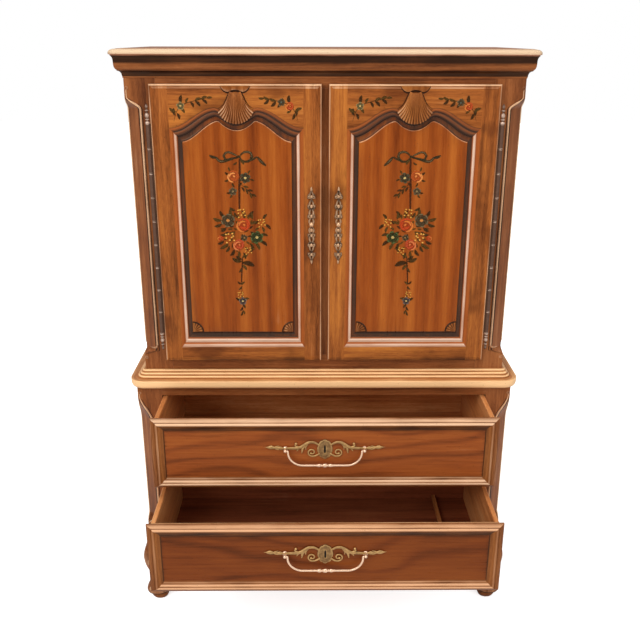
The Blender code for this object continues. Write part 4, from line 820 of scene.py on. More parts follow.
def shell_shape(origin):
    """A scallop: rays fan out from a point above it, each a rounded rib that ends in a lobe.

    Along a ray the surface swells as half a sine wave; across the rays the ribs are the absolute
    value of a sine, deeper towards their ends. The rim drops straight to the door.
    """
    x, y, z = origin
    spread = np.linspace(-1, 1, 12 * SHELL_RIBS + 1)
    reach = np.concatenate(([0.0], np.linspace(0.0, 1.0, 30), [1.0]))
    rim = np.concatenate(([1.0], np.zeros(30), [1.0]))[:, None]
    rib = np.abs(np.sin(np.pi * SHELL_RIBS * (spread + 1) / 2))[None, :]
    far = reach[:, None]
    angle = SHELL_SPREAD * spread[None, :] * (1 - 0.16 * bump_wave(far))
    longest = SHELL_REACH - (SHELL_REACH - SHELL_TIP_REACH) * spread[None, :] ** 2
    longest = longest - SHELL_LOBE * (1 - rib ** 0.5)
    radius = SHELL_START + (longest - SHELL_START) * far
    relief = SHELL_RELIEF * (0.42 + 0.58 * bump_wave(0.12 + 0.80 * far))
    relief = relief * (1 - 0.30 * spread[None, :] ** 4) + SHELL_RIB * (rib ** 0.7 - 0.6) * far ** 0.6
    relief = np.where(rim > 0, SEAT, relief)
    height = z + SHELL_ORIGIN - radius * np.cos(angle)
    points = np.stack((x + radius * np.sin(angle), y - relief, height), axis=-1)
    # Tone paints highlights on the rib crests and the outer ribs and shade between ribs; the rim is dark as
    # painted shadow
    tone = (rib ** 0.8 - 0.68) * (0.15 + 0.95 * far) + 0.30 * np.abs(spread[None, :]) ** 6 * far
    tone = np.where(rim > 0, -1.0, tone)
    front = grid(points, tone)
    floor = points.copy()
    floor[..., 1] = y - SEAT
    walls = [grid(np.stack((points[:, column], floor[:, column])), -0.9) for column in (0, -1)]
    return joined([front, grid(floor, -0.5)] + walls)


def lip_shape(origin):
    """The carved lip over the shell: a bracket with two lobes below and a straight top."""
    x, y, z = origin
    half_line = smooth_line(LIP_EDGE, 24)
    line = np.concatenate((half_line[::-1] * (-1, 1), half_line[1:]))
    share = np.concatenate(([0.0], np.linspace(0, 1, 9), [1.0]))[:, None]
    seat = np.concatenate(([1.0], np.zeros(9), [1.0]))[:, None]
    height = line[None, :, 1] + (LIP_TOP - line[None, :, 1]) * share
    ends = np.sqrt(np.clip(1 - (line[None, :, 0] / LIP_HALF) ** 8, 0, 1))
    relief = LIP_RELIEF * (0.35 + 0.65 * np.sqrt(bump_wave(0.5 * share + 0.08))) * ends + 0.0008
    relief = np.where(seat > 0, SEAT, relief)
    across = np.broadcast_to(x + line[None, :, 0], height.shape)
    points = np.stack((across, y + DOOR_FIELD_DROP - relief, z + height), axis=-1)
    # The seat and ends are dark as painted shadow round the lip
    tone = np.broadcast_to(np.where(seat > 0, -1.0, 0.38 * (1 - share) - 0.12), height.shape)
    back = points.copy()
    back[..., 1] = y + DOOR_FIELD_DROP - SEAT
    ends = [grid(np.stack((points[:, column], back[:, column])), -1.0) for column in (0, -1)]
    return joined([grid(points, tone), grid(back, -1.0)] + ends)


def both_sides(knots, *middle):
    """Knots on the left, then those in the middle, and the first ones again on the right."""
    return [*knots, *middle, *((-x, z) for x, z in reversed(knots))]


def groove_line(knots, origin, width):
    """A carved line drawn as a low flat bead along a smooth curve on a door's flat field, dark as the painted
    shade in its groove.
    """
    x, y, z = origin
    count = 40
    flat = smooth_line(knots, count)
    path = np.stack((x + flat[:, 0], np.full(count, y + DOOR_FIELD_DROP), z + flat[:, 1]), axis=-1)
    radius = width / 2 * np.sqrt(bump_wave(np.linspace(0.02, 0.98, count)))
    return tube(path, radius, sides=8, flat=0.25, tones=-1.0)


def fan_shape(origin, side):
    """A quarter fan in a panel's lower corner: rays from the corner, with a raised rim round them."""
    x, y, z = origin
    swing = np.linspace(0, np.pi / 2, 10 * FAN_RIBS + 1)[None, :]
    share = np.concatenate((np.linspace(0, FAN_RIM, 12), [0.88, 0.93, 1.0, 1.0]))[:, None]
    rib = np.abs(np.sin(2 * FAN_RIBS * swing))
    rim = half_wave((share - FAN_RIM) / 0.08) - half_wave((share - 0.93) / 0.07)
    ribbed = share < FAN_RIM + 0.02
    relief = 0.0006 + 0.0010 * rib * np.clip(share * 1.2, 0, 1) * ribbed + 0.0012 * rim
    relief[-1] = FAN_SEAT
    radius = FAN_RADIUS * share
    points = np.stack((x - side * radius * np.cos(swing), y - relief, z + radius * np.sin(swing)), axis=-1)
    # Tone paints highlights on the rib crests, shade between them, and the rim dark as painted shade
    tone = np.where(ribbed, (rib - 0.5) * 1.2 - 0.35, -0.9)
    seat = points.copy()
    seat[..., 1] = y - FAN_SEAT
    walls = [grid(np.stack((points[:, column], seat[:, column])), -0.8) for column in (0, -1)]
    return joined([grid(points, tone), grid(seat, -0.5)] + walls)


class Brush:
    """Painted strokes: centre lines of equal counts of points, with widths, colours and cover."""

    STATIONS = 11

    def __init__(self, centre, foot, mirror=1):
        self.centre = centre
        self.foot = foot
        self.mirror = mirror
        self.lines = []
        self.widths = []
        self.colours = []

    def stroke(self, knots, width, colour, ends=0.35):
        """A stroke through points, full in the middle and narrower at its ends."""
        share = bump_wave(np.linspace(0.0, 1.0, self.STATIONS))
        self.lines.append(smooth_line(knots, self.STATIONS))
        self.widths.append(width * (ends + (1 - ends) * share ** 0.7))
        self.colours.append(stain(*colour))

    def leaf(self, x, z, degrees, length, colour, plump=0.40, bend=0.10):
        """A pointed leaf from its foot, bent to one side."""
        heading = np.array((math.cos(math.radians(degrees)), math.sin(math.radians(degrees))))
        sideways = np.array((-heading[1], heading[0]))
        foot = np.array((x, z))
        middle = foot + heading * length / 2 + sideways * length * bend
        self.stroke([foot, middle, foot + heading * length], length * plump, colour, ends=0.05)

    def dot(self, x, z, size, colour):
        """A round touch of the brush."""
        self.stroke([(x - size / 2, z), (x, z), (x + size / 2, z)], size, colour, ends=0.10)

    def flower(self, x, z, size, petals, colour, edge, heart):
        """Petals round a heart, each with a paler stroke along its rim."""
        for index in range(petals):
            degrees = 360 / petals * index + 20
            self.leaf(x, z, degrees, size, colour, plump=0.85, bend=0.0)
        for index in range(petals):
            angle = math.radians(360 / petals * index + 20)
            swing = math.radians(150 / petals)
            arc = [(x + size * 0.86 * math.cos(angle + turn), z + size * 0.86 * math.sin(angle + turn))
                   for turn in (-swing, 0, swing)]
            self.stroke(arc, size * 0.20, edge)
        self.dot(x, z, size * 0.50, heart)

    def rose(self, x, z, size, dark, warm, pale):
        """A rose: crescents from the rim to the heart, each turned on from the last."""
        self.dot(x, z, size * 1.9, dark)
        for index, share in enumerate((0.86, 0.80, 0.62, 0.56, 0.36, 0.16)):
            start = math.radians(70 + 137 * index)
            arc = [(x + size * share * math.cos(start + turn), z + size * share * math.sin(start + turn))
                   for turn in (-1.1, -0.55, 0, 0.55, 1.1)]
            self.stroke(arc, size * 0.30, (warm, pale)[index % 2])

    def cluster(self, x, z, size, colour, shadow):
        """Small blossoms: a ring of dots round one, over a few shadowed ones."""
        for index in range(9):
            angle = GOLDEN_ANGLE * index
            reach = size * (0.35 + 0.65 * ((index * 5) % 9) / 9)
            place = (x + reach * math.cos(angle), z + reach * math.sin(angle))
            self.dot(place[0] + 0.0012, place[1] - 0.0012, size * 0.36, shadow)
            self.dot(*place, size * 0.30, colour)

    def piece(self, name, depth, body, node_slot):
        """All strokes as one sheet: three points across a stroke, with less cover at its edges."""
        lines = np.array(self.lines)
        heading = np.gradient(lines, axis=1)
        heading /= np.linalg.norm(heading, axis=2, keepdims=True)
        sideways = np.stack((heading[..., 1], -heading[..., 0]), axis=-1)
        across = np.array((-0.5, -0.3, 0.3, 0.5))
        spread = np.array(self.widths)[:, :, None] * across
        flat = lines[:, :, None] + sideways[:, :, None] * spread[..., None]
        count = len(lines)
        level = depth - PAINT_LIFT - STROKE_LIFT * np.arange(count)[:, None, None]
        points = np.stack((self.centre + self.mirror * flat[..., 0], np.broadcast_to(level, flat.shape[:3]),
                           self.foot + flat[..., 1]), axis=-1)
        shape = joined([grid(patch) for patch in points])
        if self.mirror > 0:
            shape.faces = shape.faces[:, ::-1]
        colours = np.broadcast_to(np.array(self.colours)[:, None, None], (*points.shape[:3], 4)).copy()
        colours[..., 3] = np.array((0.10, 0.90, 0.90, 0.10))
        make_piece(name, shape, finishes["paint"], body, paint=colours.reshape(-1, 4))


# The golden angle, by which small leaves and blossoms turn on from one to the next, in radians
GOLDEN_ANGLE = 2.4

# How far the first stroke stands off the wood, and each stroke off the last
PAINT_LIFT = 0.00015
STROKE_LIFT = 0.0000025

# Paint colours
LEAF = (52, 34, 10)
OLIVE = (76, 54, 18)
DARK_OLIVE = (62, 44, 14)
BLUE = (66, 54, 34)
PALE_BLUE = (112, 94, 64)
RED = (146, 54, 18)
ORANGE = (206, 116, 50)
YELLOW = (226, 164, 70)
SHADOW = (112, 62, 18)
CREAM = (206, 176, 112)
RIBBON_GREY = (54, 44, 22)
STEM = (68, 32, 10)

# Leaves as (across, up from the door's foot, heading in degrees, length), from the bow down
BOW_LEAVES = ((0.004, 0.582, 205, 0.014), (0.006, 0.572, -50, 0.017), (-0.002, 0.566, 215, 0.013))
UPPER_LEAVES = ((-0.022, 0.532, 150, 0.015), (-0.020, 0.541, 110, 0.013), (-0.024, 0.520, 200, 0.014),
                (-0.019, 0.486, 190, 0.014), (-0.017, 0.481, 235, 0.013), (-0.010, 0.500, 120, 0.013),
                (0.008, 0.500, -60, 0.015), (0.014, 0.502, -20, 0.014), (0.019, 0.494, -70, 0.015),
                (0.024, 0.491, -10, 0.015), (0.029, 0.484, -70, 0.016), (0.034, 0.480, -25, 0.015),
                (0.010, 0.512, -140, 0.013), (0.027, 0.534, 60, 0.012), (0.031, 0.520, -20, 0.012))
BOUQUET_LEAVES = ((-0.040, 0.418, 125, 0.022), (-0.048, 0.409, 165, 0.024), (-0.048, 0.400, 200, 0.022),
                  (-0.036, 0.390, 215, 0.020), (-0.020, 0.420, 100, 0.022), (-0.010, 0.436, 150, 0.018),
                  (0.028, 0.416, 60, 0.022), (0.036, 0.412, 95, 0.020), (0.064, 0.411, 55, 0.019),
                  (0.068, 0.398, -40, 0.021), (0.060, 0.392, -70, 0.018), (0.056, 0.370, -10, 0.021),
                  (0.054, 0.352, -35, 0.024), (0.042, 0.346, -60, 0.022), (0.032, 0.342, -100, 0.022),
                  (-0.044, 0.352, 205, 0.020), (-0.036, 0.344, 215, 0.024), (-0.030, 0.338, 240, 0.020),
                  (-0.016, 0.328, 235, 0.022), (-0.004, 0.324, 260, 0.022), (0.008, 0.320, -75, 0.020),
                  (0.028, 0.378, -45, 0.020), (-0.012, 0.378, 190, 0.018), (0.026, 0.346, -60, 0.018),
                  (-0.016, 0.392, 160, 0.018), (0.030, 0.398, 20, 0.020), (-0.034, 0.372, 190, 0.020),
                  (0.006, 0.372, -100, 0.020), (0.014, 0.412, 80, 0.018), (-0.004, 0.416, 120, 0.018))
STEM_LEAVES = ((0.004, 0.300, 150, 0.020), (0.004, 0.304, 30, 0.020), (0.003, 0.294, 160, 0.028),
               (0.003, 0.290, -15, 0.036), (0.003, 0.284, -50, 0.020), (0.002, 0.276, -120, 0.016),
               (0.000, 0.228, 140, 0.014), (0.000, 0.226, 45, 0.014), (0.000, 0.222, -130, 0.013),
               (0.000, 0.182, 160, 0.019), (0.003, 0.182, 15, 0.018), (0.001, 0.170, -60, 0.015),
               (0.001, 0.162, -120, 0.014), (0.001, 0.152, -70, 0.014), (0.000, 0.148, -110, 0.014))


def paint_leaves(brush, leaves):
    """Leaves by turns in three greens."""
    for index, leaf in enumerate(leaves):
        brush.leaf(*leaf, (LEAF, OLIVE, DARK_OLIVE)[index % 3], plump=0.46)


def paint_spray(brush):
    """The painted spray on a panel: a ribbon bow, a hanging stem, a bouquet and a small tail cluster."""
    brush.stroke([(0.005, 0.575), (0.005, 0.543), (0.003, 0.509), (0.001, 0.440)], 0.0072, STEM, ends=0.7)
    brush.stroke([(0.005, 0.305), (0.003, 0.276), (0.001, 0.252), (0.000, 0.227)], 0.0050, STEM, ends=0.6)
    brush.stroke([(0.001, 0.225), (0.000, 0.200), (0.002, 0.165), (0.000, 0.136)], 0.0026, STEM)
    paint_bow(brush)
    paint_leaves(brush, UPPER_LEAVES)
    brush.rose(-0.013, 0.527, 0.0175, (150, 66, 24), (172, 78, 30), (222, 138, 70))
    brush.flower(0.019, 0.524, 0.0150, 6, (56, 50, 32), (84, 78, 54), CREAM)
    brush.flower(-0.015, 0.488, 0.0115, 5, (72, 62, 42), PALE_BLUE, (136, 112, 72))
    brush.stroke([(0.006, 0.508), (0.020, 0.496), (0.034, 0.482), (0.044, 0.468)], 0.0022, LEAF)
    paint_filling(brush, 0.004, 0.376)
    paint_leaves(brush, BOUQUET_LEAVES + STEM_LEAVES)
    brush.cluster(0.005, 0.430, 0.0150, YELLOW, SHADOW)
    brush.flower(-0.031, 0.409, 0.0200, 6, BLUE, PALE_BLUE, (196, 124, 62))
    brush.rose(0.010, 0.395, 0.0210, RED, (186, 66, 28), ORANGE)
    brush.cluster(0.059, 0.403, 0.0140, YELLOW, SHADOW)
    brush.flower(0.046, 0.362, 0.0185, 6, (46, 54, 26), (84, 96, 52), (190, 160, 96))
    brush.cluster(-0.029, 0.362, 0.0175, (232, 166, 74), SHADOW)
    brush.rose(-0.054, 0.359, 0.0085, RED, (186, 66, 28), ORANGE)
    brush.rose(-0.004, 0.340, 0.0170, RED, (182, 72, 40), (214, 118, 66))
    brush.flower(0.012, 0.361, 0.0095, 5, BLUE, PALE_BLUE, (150, 112, 66))
    brush.cluster(0.021, 0.325, 0.0125, YELLOW, SHADOW)
    brush.cluster(-0.004, 0.198, 0.0115, YELLOW, SHADOW)
    brush.flower(0.002, 0.179, 0.0115, 5, (60, 54, 50), (116, 104, 96), CREAM)


def paint_filling(brush, x, z):
    """Small leaves that fill a bouquet: each is turned by the golden angle from the last and further out."""
    count = 34
    for index in range(count):
        angle = GOLDEN_ANGLE * index
        reach = 0.050 * math.sqrt((index + 1) / count)
        place = (x + reach * 0.95 * math.cos(angle), z + reach * math.sin(angle))
        brush.leaf(*place, math.degrees(angle) + 25, 0.013, (OLIVE, (92, 58, 18), LEAF)[index % 3], plump=0.5)


def paint_bow(brush):
    """The ribbon bow: two loops and two tails, each a broad dark stroke with a thin pale one on it."""
    tail = [(-0.004, 0.578), (-0.022, 0.573), (-0.036, 0.568)]
    tail += [(-0.047, 0.568), (-0.056, 0.577), (-0.068, 0.582)]
    left = [(0.002, 0.580), (-0.012, 0.588), (-0.027, 0.592)]
    left += [(-0.036, 0.584), (-0.031, 0.572), (-0.014, 0.574)]
    right = [(0.006, 0.580), (0.014, 0.590), (0.025, 0.593), (0.036, 0.589), (0.038, 0.578), (0.029, 0.568)]
    right += [(0.013, 0.569), (0.006, 0.579)]
    for line, width in ((tail, 0.0090), (left + [(0.002, 0.580)], 0.0078), (right, 0.0086)):
        brush.stroke(line, width, RIBBON_GREY)
    brush.stroke([(0.026, 0.569), (0.040, 0.573), (0.052, 0.580)], 0.0066, RIBBON_GREY)
    brush.stroke([(0.052, 0.580), (0.062, 0.568), (0.075, 0.556)], 0.0100, RIBBON_GREY)
    brush.leaf(-0.056, 0.577, 158, 0.020, RIBBON_GREY, plump=0.45)
    for line in (left[:4], right[1:5], tail[2:5]):
        brush.stroke(line, 0.0018, PALE_BLUE)
    brush.stroke([(0.056, 0.574), (0.066, 0.564)], 0.0018, PALE_BLUE)
    paint_leaves(brush, BOW_LEAVES)
    brush.dot(0.004, 0.580, 0.0090, RIBBON_GREY)


def paint_sprigs(brush):
    """The two sprigs on a door's upper corners: a pale flower on the left and a red one on the right."""
    for side, tip, heart in ((-1, -0.070, "pale"), (1, 0.068, "red")):
        stem = [(side * 0.161, 0.671), (side * 0.152, 0.697), (side * 0.141, 0.711), (side * 0.119, 0.719)]
        stem += [(side * 0.104, 0.723), (side * 0.086, 0.727), (tip, 0.730)]
        brush.stroke(stem, 0.0022, LEAF)
        leaves = [(0.158, 0.686, 95, 0.015), (0.154, 0.695, 150, 0.016), (0.152, 0.692, -70, 0.014)]
        leaves += [(0.143, 0.705, -50, 0.014), (0.140, 0.716, 85, 0.017), (0.128, 0.717, 60, 0.012)]
        leaves += [(0.116, 0.720, -60, 0.013), (0.104, 0.723, 20, 0.014), (0.104, 0.722, -45, 0.015)]
        leaves += [(0.088, 0.726, 25, 0.014), (0.086, 0.726, -40, 0.014), (0.074, 0.729, 5, 0.012)]
        for index, (x, z, degrees, length) in enumerate(leaves):
            turned_leaf = degrees if side < 0 else 180 - degrees
            brush.leaf(side * x, z, turned_leaf, length * 1.25, (LEAF, OLIVE)[index % 2], plump=0.5)
        if heart == "pale":
            brush.flower(side * 0.142, 0.710, 0.0110, 5, (92, 82, 50), (150, 128, 82), (196, 160, 96))
        else:
            brush.rose(side * 0.139, 0.708, 0.0120, RED, (182, 74, 36), ORANGE)
            brush.flower(side * 0.118, 0.719, 0.0105, 5, BLUE, PALE_BLUE, (80, 84, 72))


def hinge_knuckles(side, first, axis_y, low, high):
    """Every other knuckle of a hinge's barrel, counted from the bottom: short sleeves with eased ends."""
    pitch = (high - low) / HINGE_KNUCKLES
    shapes = []
    for index in range(first, HINGE_KNUCKLES, 2):
        bottom = low + pitch * index + KNUCKLE_GAP
        top = low + pitch * (index + 1) - KNUCKLE_GAP
        # Tones paint highlights on the eased ends and shade along the rest of each knuckle
        profile = [
            (0.0, bottom, -0.6),
            (KNUCKLE_END, bottom, -0.6),
            (HINGE_BARREL, bottom + KNUCKLE_EASE, 0.55),
            (HINGE_BARREL, bottom + KNUCKLE_SHADE, -0.45),
            (HINGE_BARREL, top - KNUCKLE_SHADE, -0.45),
            (HINGE_BARREL, top - KNUCKLE_EASE, 0.55),
            (KNUCKLE_END, top, -0.6),
            (0.0, top, -0.6),
        ]
        shapes.append(turned(profile, (side * HINGE_AXIS, axis_y, 0.0)))
    return joined(shapes)


def finial_shape(centre, direction):
    """A turned finial from the barrel's end: a collar, a vase between rings, a ball and a tip."""
    profile = [(0.0, 0.0, 0.0)]
    # Tone grows with the radius: painted highlights on the swells and shade in the necks
    for radius, share in FINIAL_LINE:
        profile.append((HINGE_BARREL * radius, direction * FINIAL * share, 1.8 * radius - 1.30))
    return turned(profile, centre)


def build_hinge(name, side, body):
    """Both halves of a door's hinge: barrel knuckles by turns, finials at its ends, and the leaves."""
    case_low, case_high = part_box(f"{name}_hinge_case_leaf")
    door_low, door_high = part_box(f"{name}_hinge_door_leaf")
    axis_y = case_low.y + HINGE_BARREL * 1.1
    barrel_low = case_low.z + FINIAL
    barrel_high = case_high.z - FINIAL
    leaf_x = sorted((side * HINGE_AXIS, side * (HINGE_AXIS + HINGE_LEAF)))
    # Both leaves are dark, as painted shade in the gap beside the door
    leaf = board((leaf_x[0], axis_y + FIXED_LEAF_BACK, barrel_low),
                 (leaf_x[1], case_high.y, barrel_high), -0.6)
    fixed = hinge_knuckles(side, 0, axis_y, barrel_low, barrel_high) + leaf
    fixed = fixed + finial_shape((side * HINGE_AXIS, axis_y, barrel_high), 1)
    fixed = fixed + finial_shape((side * HINGE_AXIS, axis_y, barrel_low), -1)
    make_piece(f"{name}_hinge_barrel", fixed, finishes["dark_bronze"], "case",
               [f"{name}_hinge_case_leaf"], sharp=50)
    inner_x = door_low.x if side > 0 else door_high.x
    leaf_x = sorted((inner_x, inner_x + side * HINGE_LEAF))
    leaf = board((leaf_x[0], axis_y - DOOR_LEAF_FRONT, door_low.z),
                 (leaf_x[1], door_high.y, door_high.z), -0.6)
    moving = hinge_knuckles(side, 1, axis_y, barrel_low, barrel_high) + leaf
    make_piece(f"{name}_hinge_sleeves", moving, finishes["dark_bronze"], body,
               [f"{name}_hinge_door_leaf"], sharp=50)


def volute(centre, start, turns, wide, count=28):
    """A flat spiral (x, z) that winds in: its radius falls evenly to a quarter as its angle runs."""
    share = np.linspace(0, 1, count)
    angle = start + turns * 2 * np.pi * share
    radius = wide * (1 - 0.75 * share)
    return np.stack((centre[0] + radius * np.cos(angle), centre[1] + radius * np.sin(angle)), axis=-1)


def upright(flat, y):
    """Points (x, z) as points in space at a depth."""
    return np.stack((flat[:, 0], np.full(len(flat), y), flat[:, 1]), axis=-1)


def door_pull_shape(low, high):
    """A long pull: two strands that cross in a chain of loops, scrolls at the crossings, and a knob."""
    x = (low.x + high.x) / 2
    back = high.y
    centre = (low.z + high.z) / 2
    half = (high.z - low.z) / 2
    wide = (high.x - low.x) / 2
    share = np.linspace(-1, 1, 161)
    swing = np.sin(share * np.pi * 4.0) * (1 - 0.35 * share ** 2)
    shapes = []
    # Tones paint highlights where the strands swing out, on the balls and on the knob, and shade on the knob's
    # neck
    for side in (-1, 1):
        flat = np.stack((x + side * swing * wide * 0.50, centre + share * half * 0.90), axis=-1)
        depth = back - 0.0018 - 0.0007 * side * np.cos(share * np.pi * 4.0)
        path = np.stack((flat[:, 0], depth, flat[:, 1]), axis=-1)
        thick = 0.0017 + 0.0010 * np.abs(swing)
        shapes.append(tube(path, thick, sides=10, flat=0.8, tones=0.75 * np.abs(swing) - 0.25))
        for place, up in ((-0.74, -1), (-0.50, 1), (-0.24, -1), (0.24, 1), (0.50, -1), (0.74, 1)):
            level = centre + place * half
            start = math.pi if side > 0 else 0.0
            curl = volute((x + side * wide * 0.56, level), start, up * side * 0.85, wide * 0.34)
            thick = np.linspace(0.0013, 0.0022, 28)
            shapes.append(tube(upright(curl, back - 0.0022), thick, sides=8, tones=0.3))
            leaf = [(x + side * wide * 0.15, level + up * 0.010),
                    (x + side * wide * 0.70, level + up * 0.004),
                    (x + side * wide * 0.85, level - up * 0.006)]
            shapes.append(leaf_blade(leaf, 0.0021, back - 0.0018, tone=0.0))
    for place, size in ((-0.75, 0.0028), (-0.5, 0.0036), (-0.25, 0.0032), (0.25, 0.0032), (0.5, 0.0036),
                        (0.75, 0.0028)):
        shapes.append(ball((x, back - 0.0030, centre + place * half), size, (1, 0.8, 1.4), tone=0.8))
    for direction in (-1, 1):
        leaf = smooth_line([(x, centre + direction * half * 0.86), (x, centre + direction * half)], 9)
        thick = 0.0030 * bump_wave(np.linspace(0.12, 0.97, 9))
        shapes.append(tube(upright(leaf, back - 0.0016), thick, sides=10, flat=0.5, tones=0.6))
    knob = [(0.0, 0.0, 0.0), (0.0052, 0.0, 0.0), (0.0052, -0.0016, 0.4), (0.0030, -0.0034, -0.3)]
    knob += [(0.0028, -0.0080, -0.2), (0.0050, -0.0104, 0.4), (0.0066, -0.0140, 0.9), (0.0064, -0.0176, 1.0)]
    knob += [(0.0044, -0.0204, 1.0), (0.0018, -0.0216, 1.0), (0.0, -0.0219, 1.0)]
    shapes.append(turned(knob, (x, back, centre + 0.0067), "Y"))
    shapes.append(ball((x, back - 0.0050, centre - 0.0110), 0.0040, (1.0, 0.9, 1.3), tone=0.9))
    return joined(shapes)


def build_door(name, side):
    """One door and all that it carries."""
    body = f"{name}_door"
    low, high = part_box(f"{name}_door_frame")
    width = high.x - low.x
    height = high.z - low.z
    thick = high.y - low.y
    centre = (low.x + high.x) / 2
    origin = (centre, low.y, low.z)
    make_piece(f"{name}_door_rails", door_frame_shape(width, height, thick, origin),
               finishes["door_frame_upright"], body, [f"{name}_door_frame"])
    make_piece(f"{name}_door_bead_and_groove", door_moulding_shape(width, origin),
               finishes["door_moulding"], body, [f"{name}_door_moulding"])
    make_piece(f"{name}_door_raised_panel", door_panel_shape(width, origin),
               finishes["ribbon_panel"], body, [f"{name}_door_panel"])
    make_piece(f"{name}_carved_shell", shell_shape(origin), finishes["carving"], body,
               [f"{name}_door_shell"])
    make_piece(f"{name}_carved_lip", lip_shape(origin), finishes["carving"], body)
    lines = groove_line(both_sides(LIP_COVE), origin, 0.0028)
    lines = lines + groove_line(both_sides(LIP_RIM, (0.0, 0.7480)), origin, 0.0046)
    make_piece(f"{name}_carved_lines", lines, finishes["carving"], body)
    fan_x = width / 2 - DOOR_STILE - MOULDING_WIDTH + FAN_OVERLAP
    fan_z = low.z + PANEL_BOTTOM - FAN_OVERLAP
    fans = [fan_shape((centre + corner * fan_x, low.y + FIELD_DEPTH, fan_z), corner) for corner in (-1, 1)]
    make_piece(f"{name}_corner_fans", joined(fans), finishes["carving"], body)
    spray = Brush(centre, low.z, -side)
    paint_spray(spray)
    spray.piece(f"{name}_painted_spray", low.y + FIELD_DEPTH, body, "panel_wood")
    sprigs = Brush(centre, low.z)
    paint_sprigs(sprigs)
    sprigs.piece(f"{name}_painted_sprigs", low.y + DOOR_FIELD_DROP, body, "frame_wood")
    build_hinge(name, side, body)
    pull_low, pull_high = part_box(f"{name}_door_pull")
    make_piece(f"{name}_pierced_pull", door_pull_shape(pull_low, pull_high), finishes["worn_highlit_brass"], body,
               [f"{name}_door_pull"], sharp=60)


def chamfer_at(level, post):
    """Size of a chamfer at a level: half a cosine wave opens it at each end."""
    chamfer, start, end, low_stop, high_stop = post
    rise = half_wave((level - start) / low_stop)
    fall = half_wave((end - level) / high_stop)
    return chamfer * np.minimum(rise, fall) * ((level > start) & (level < end))


def post_shape(low, high, side, post):
    """A corner post: a section whose chamfer opens and closes, with a dark line of painted shade along each of
    its edges and beside each bead.
    """
    _, start, end, low_stop, high_stop = post
    level = np.unique(np.concatenate(([low.z, high.z], np.linspace(start, start + low_stop, 20),
                                      np.linspace(end - high_stop, end, 36))))
    size = chamfer_at(level, post)
    outer = high.x if side > 0 else -low.x
    inner = low.x if side > 0 else -high.x
    front = low.y
    on_front = outer - size - BEAD_INSET * 2
    on_side = front + size + BEAD_INSET * 2
    zero = np.zeros_like(size)
    slant = np.minimum(CHAMFER_LINE, size / 4)
    opened = np.minimum(size, 0.002) / 0.002
    across = [inner + zero, on_front - CHAMFER_LINE, on_front, on_front + CHAMFER_LINE]
    deep = [front + zero, front + zero, front + zero, front + zero]
    tones = [zero, zero, -0.9 * opened, zero]
    across += [outer - size, outer - size + slant, outer - size / 2, outer - slant, outer + zero]
    deep += [front + zero, front + slant, front + size / 2, front + size - slant, front + size]
    tones += [-0.9 * opened, 0.05 * opened, 0.10 * opened, 0.05 * opened, -0.9 * opened]
    across += [outer + zero, outer + zero, outer + zero, outer + zero, inner + zero, inner + zero]
    deep += [on_side - CHAMFER_LINE, on_side, on_side + CHAMFER_LINE, high.y + zero, high.y + zero,
             front + zero]
    tones += [zero, -0.9 * opened, zero, zero, zero, zero]
    heights = np.broadcast_to(level[:, None], (len(level), len(across)))
    points = np.stack((np.stack(across, 1), np.stack(deep, 1), heights), axis=-1)
    tone = np.stack(tones, 1)
    shape = grid(with_ends(points), np.concatenate((tone[:1], tone, tone[-1:])))
    return shape if side > 0 else shape.mirrored()


def post_beads(low, high, side, post):
    """The raised beads along both edges of a chamfer, with a curl at each end."""
    chamfer, start, end, low_stop, high_stop = post
    outer = high.x if side > 0 else -low.x
    front = low.y
    has_scroll = start + low_stop < SCROLL_FOOT < end
    hook = end + (HOOK_RISE if has_scroll else CURL_RISE)
    foot = [SCROLL_FOOT] if has_scroll else np.linspace(start + low_stop, start - BEAD_PAST_END, 20)
    level = np.concatenate((np.linspace(hook, end - high_stop, 60), foot))
    size = chamfer_at(level, post)
    count = len(level)
    radius = POST_BEAD * (0.45 + 0.55 * np.clip(size / chamfer * 2, 0, 1))
    on_front = np.stack((outer - size - BEAD_INSET, np.full(count, front), level), axis=-1)
    on_side = np.stack((np.full(count, outer), front + size + BEAD_INSET, level), axis=-1)
    # Bead tones paint rubbing and highlights, brightest on the side bead
    shapes = [tube(on_front, radius, tones=0.70), tube(on_side, radius * SIDE_BEAD / POST_BEAD, tones=1.0)]
    for height, direction in ((hook, 1), (start - CURL_RISE, -1)):
        centre = (outer - CURL_INSET, height + direction * CURL_LIFT)
        curl = volute(centre, -direction * 1.2, direction * 1.1, CURL_RADIUS)
        shapes.append(tube(upright(curl, front), np.linspace(0.0014, 0.0022, 28), sides=10, tones=0.3))
    shape = joined(shapes)
    return shape if side > 0 else shape.mirrored()


def scroll_foot(low, high, side):
    """The U in which the upper chamfer's beads meet: half an ellipse across the chamfer's slanted face."""
    chamfer = POSTS["upper"][0]
    outer = high.x if side > 0 else -low.x
    reach = (chamfer + BEAD_INSET) / 2
    turn = np.linspace(0.0, np.pi, 48)
    across = outer - reach - reach * np.cos(turn)
    depth = low.y + np.clip(chamfer - (outer - across), 0.0, None) * (1 + BEAD_INSET / chamfer)
    path = np.stack((across, depth, SCROLL_FOOT - SCROLL_DROP * np.sin(turn)), axis=-1)
    # The scroll's bead is toned up as rubbing and a painted highlight
    shape = tube(path, np.full(48, POST_BEAD), tones=0.45)
    return shape if side > 0 else shape.mirrored()


def build_posts():
    """The four corner posts with their carved edges."""
    for level, post in POSTS.items():
        for name, side in SIDES:
            node = f"{level}_{name}_post"
            low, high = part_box(node)
            make_piece(f"{node}_carved", post_shape(low, high, side, post),
                       finishes["case_upright"], "case", [node], sharp=28)
            beads = post_beads(low, high, side, post)
            if level == "upper":
                beads = beads + scroll_foot(low, high, side)
            make_piece(f"{node}_beads", beads, finishes["case_upright"], "case")


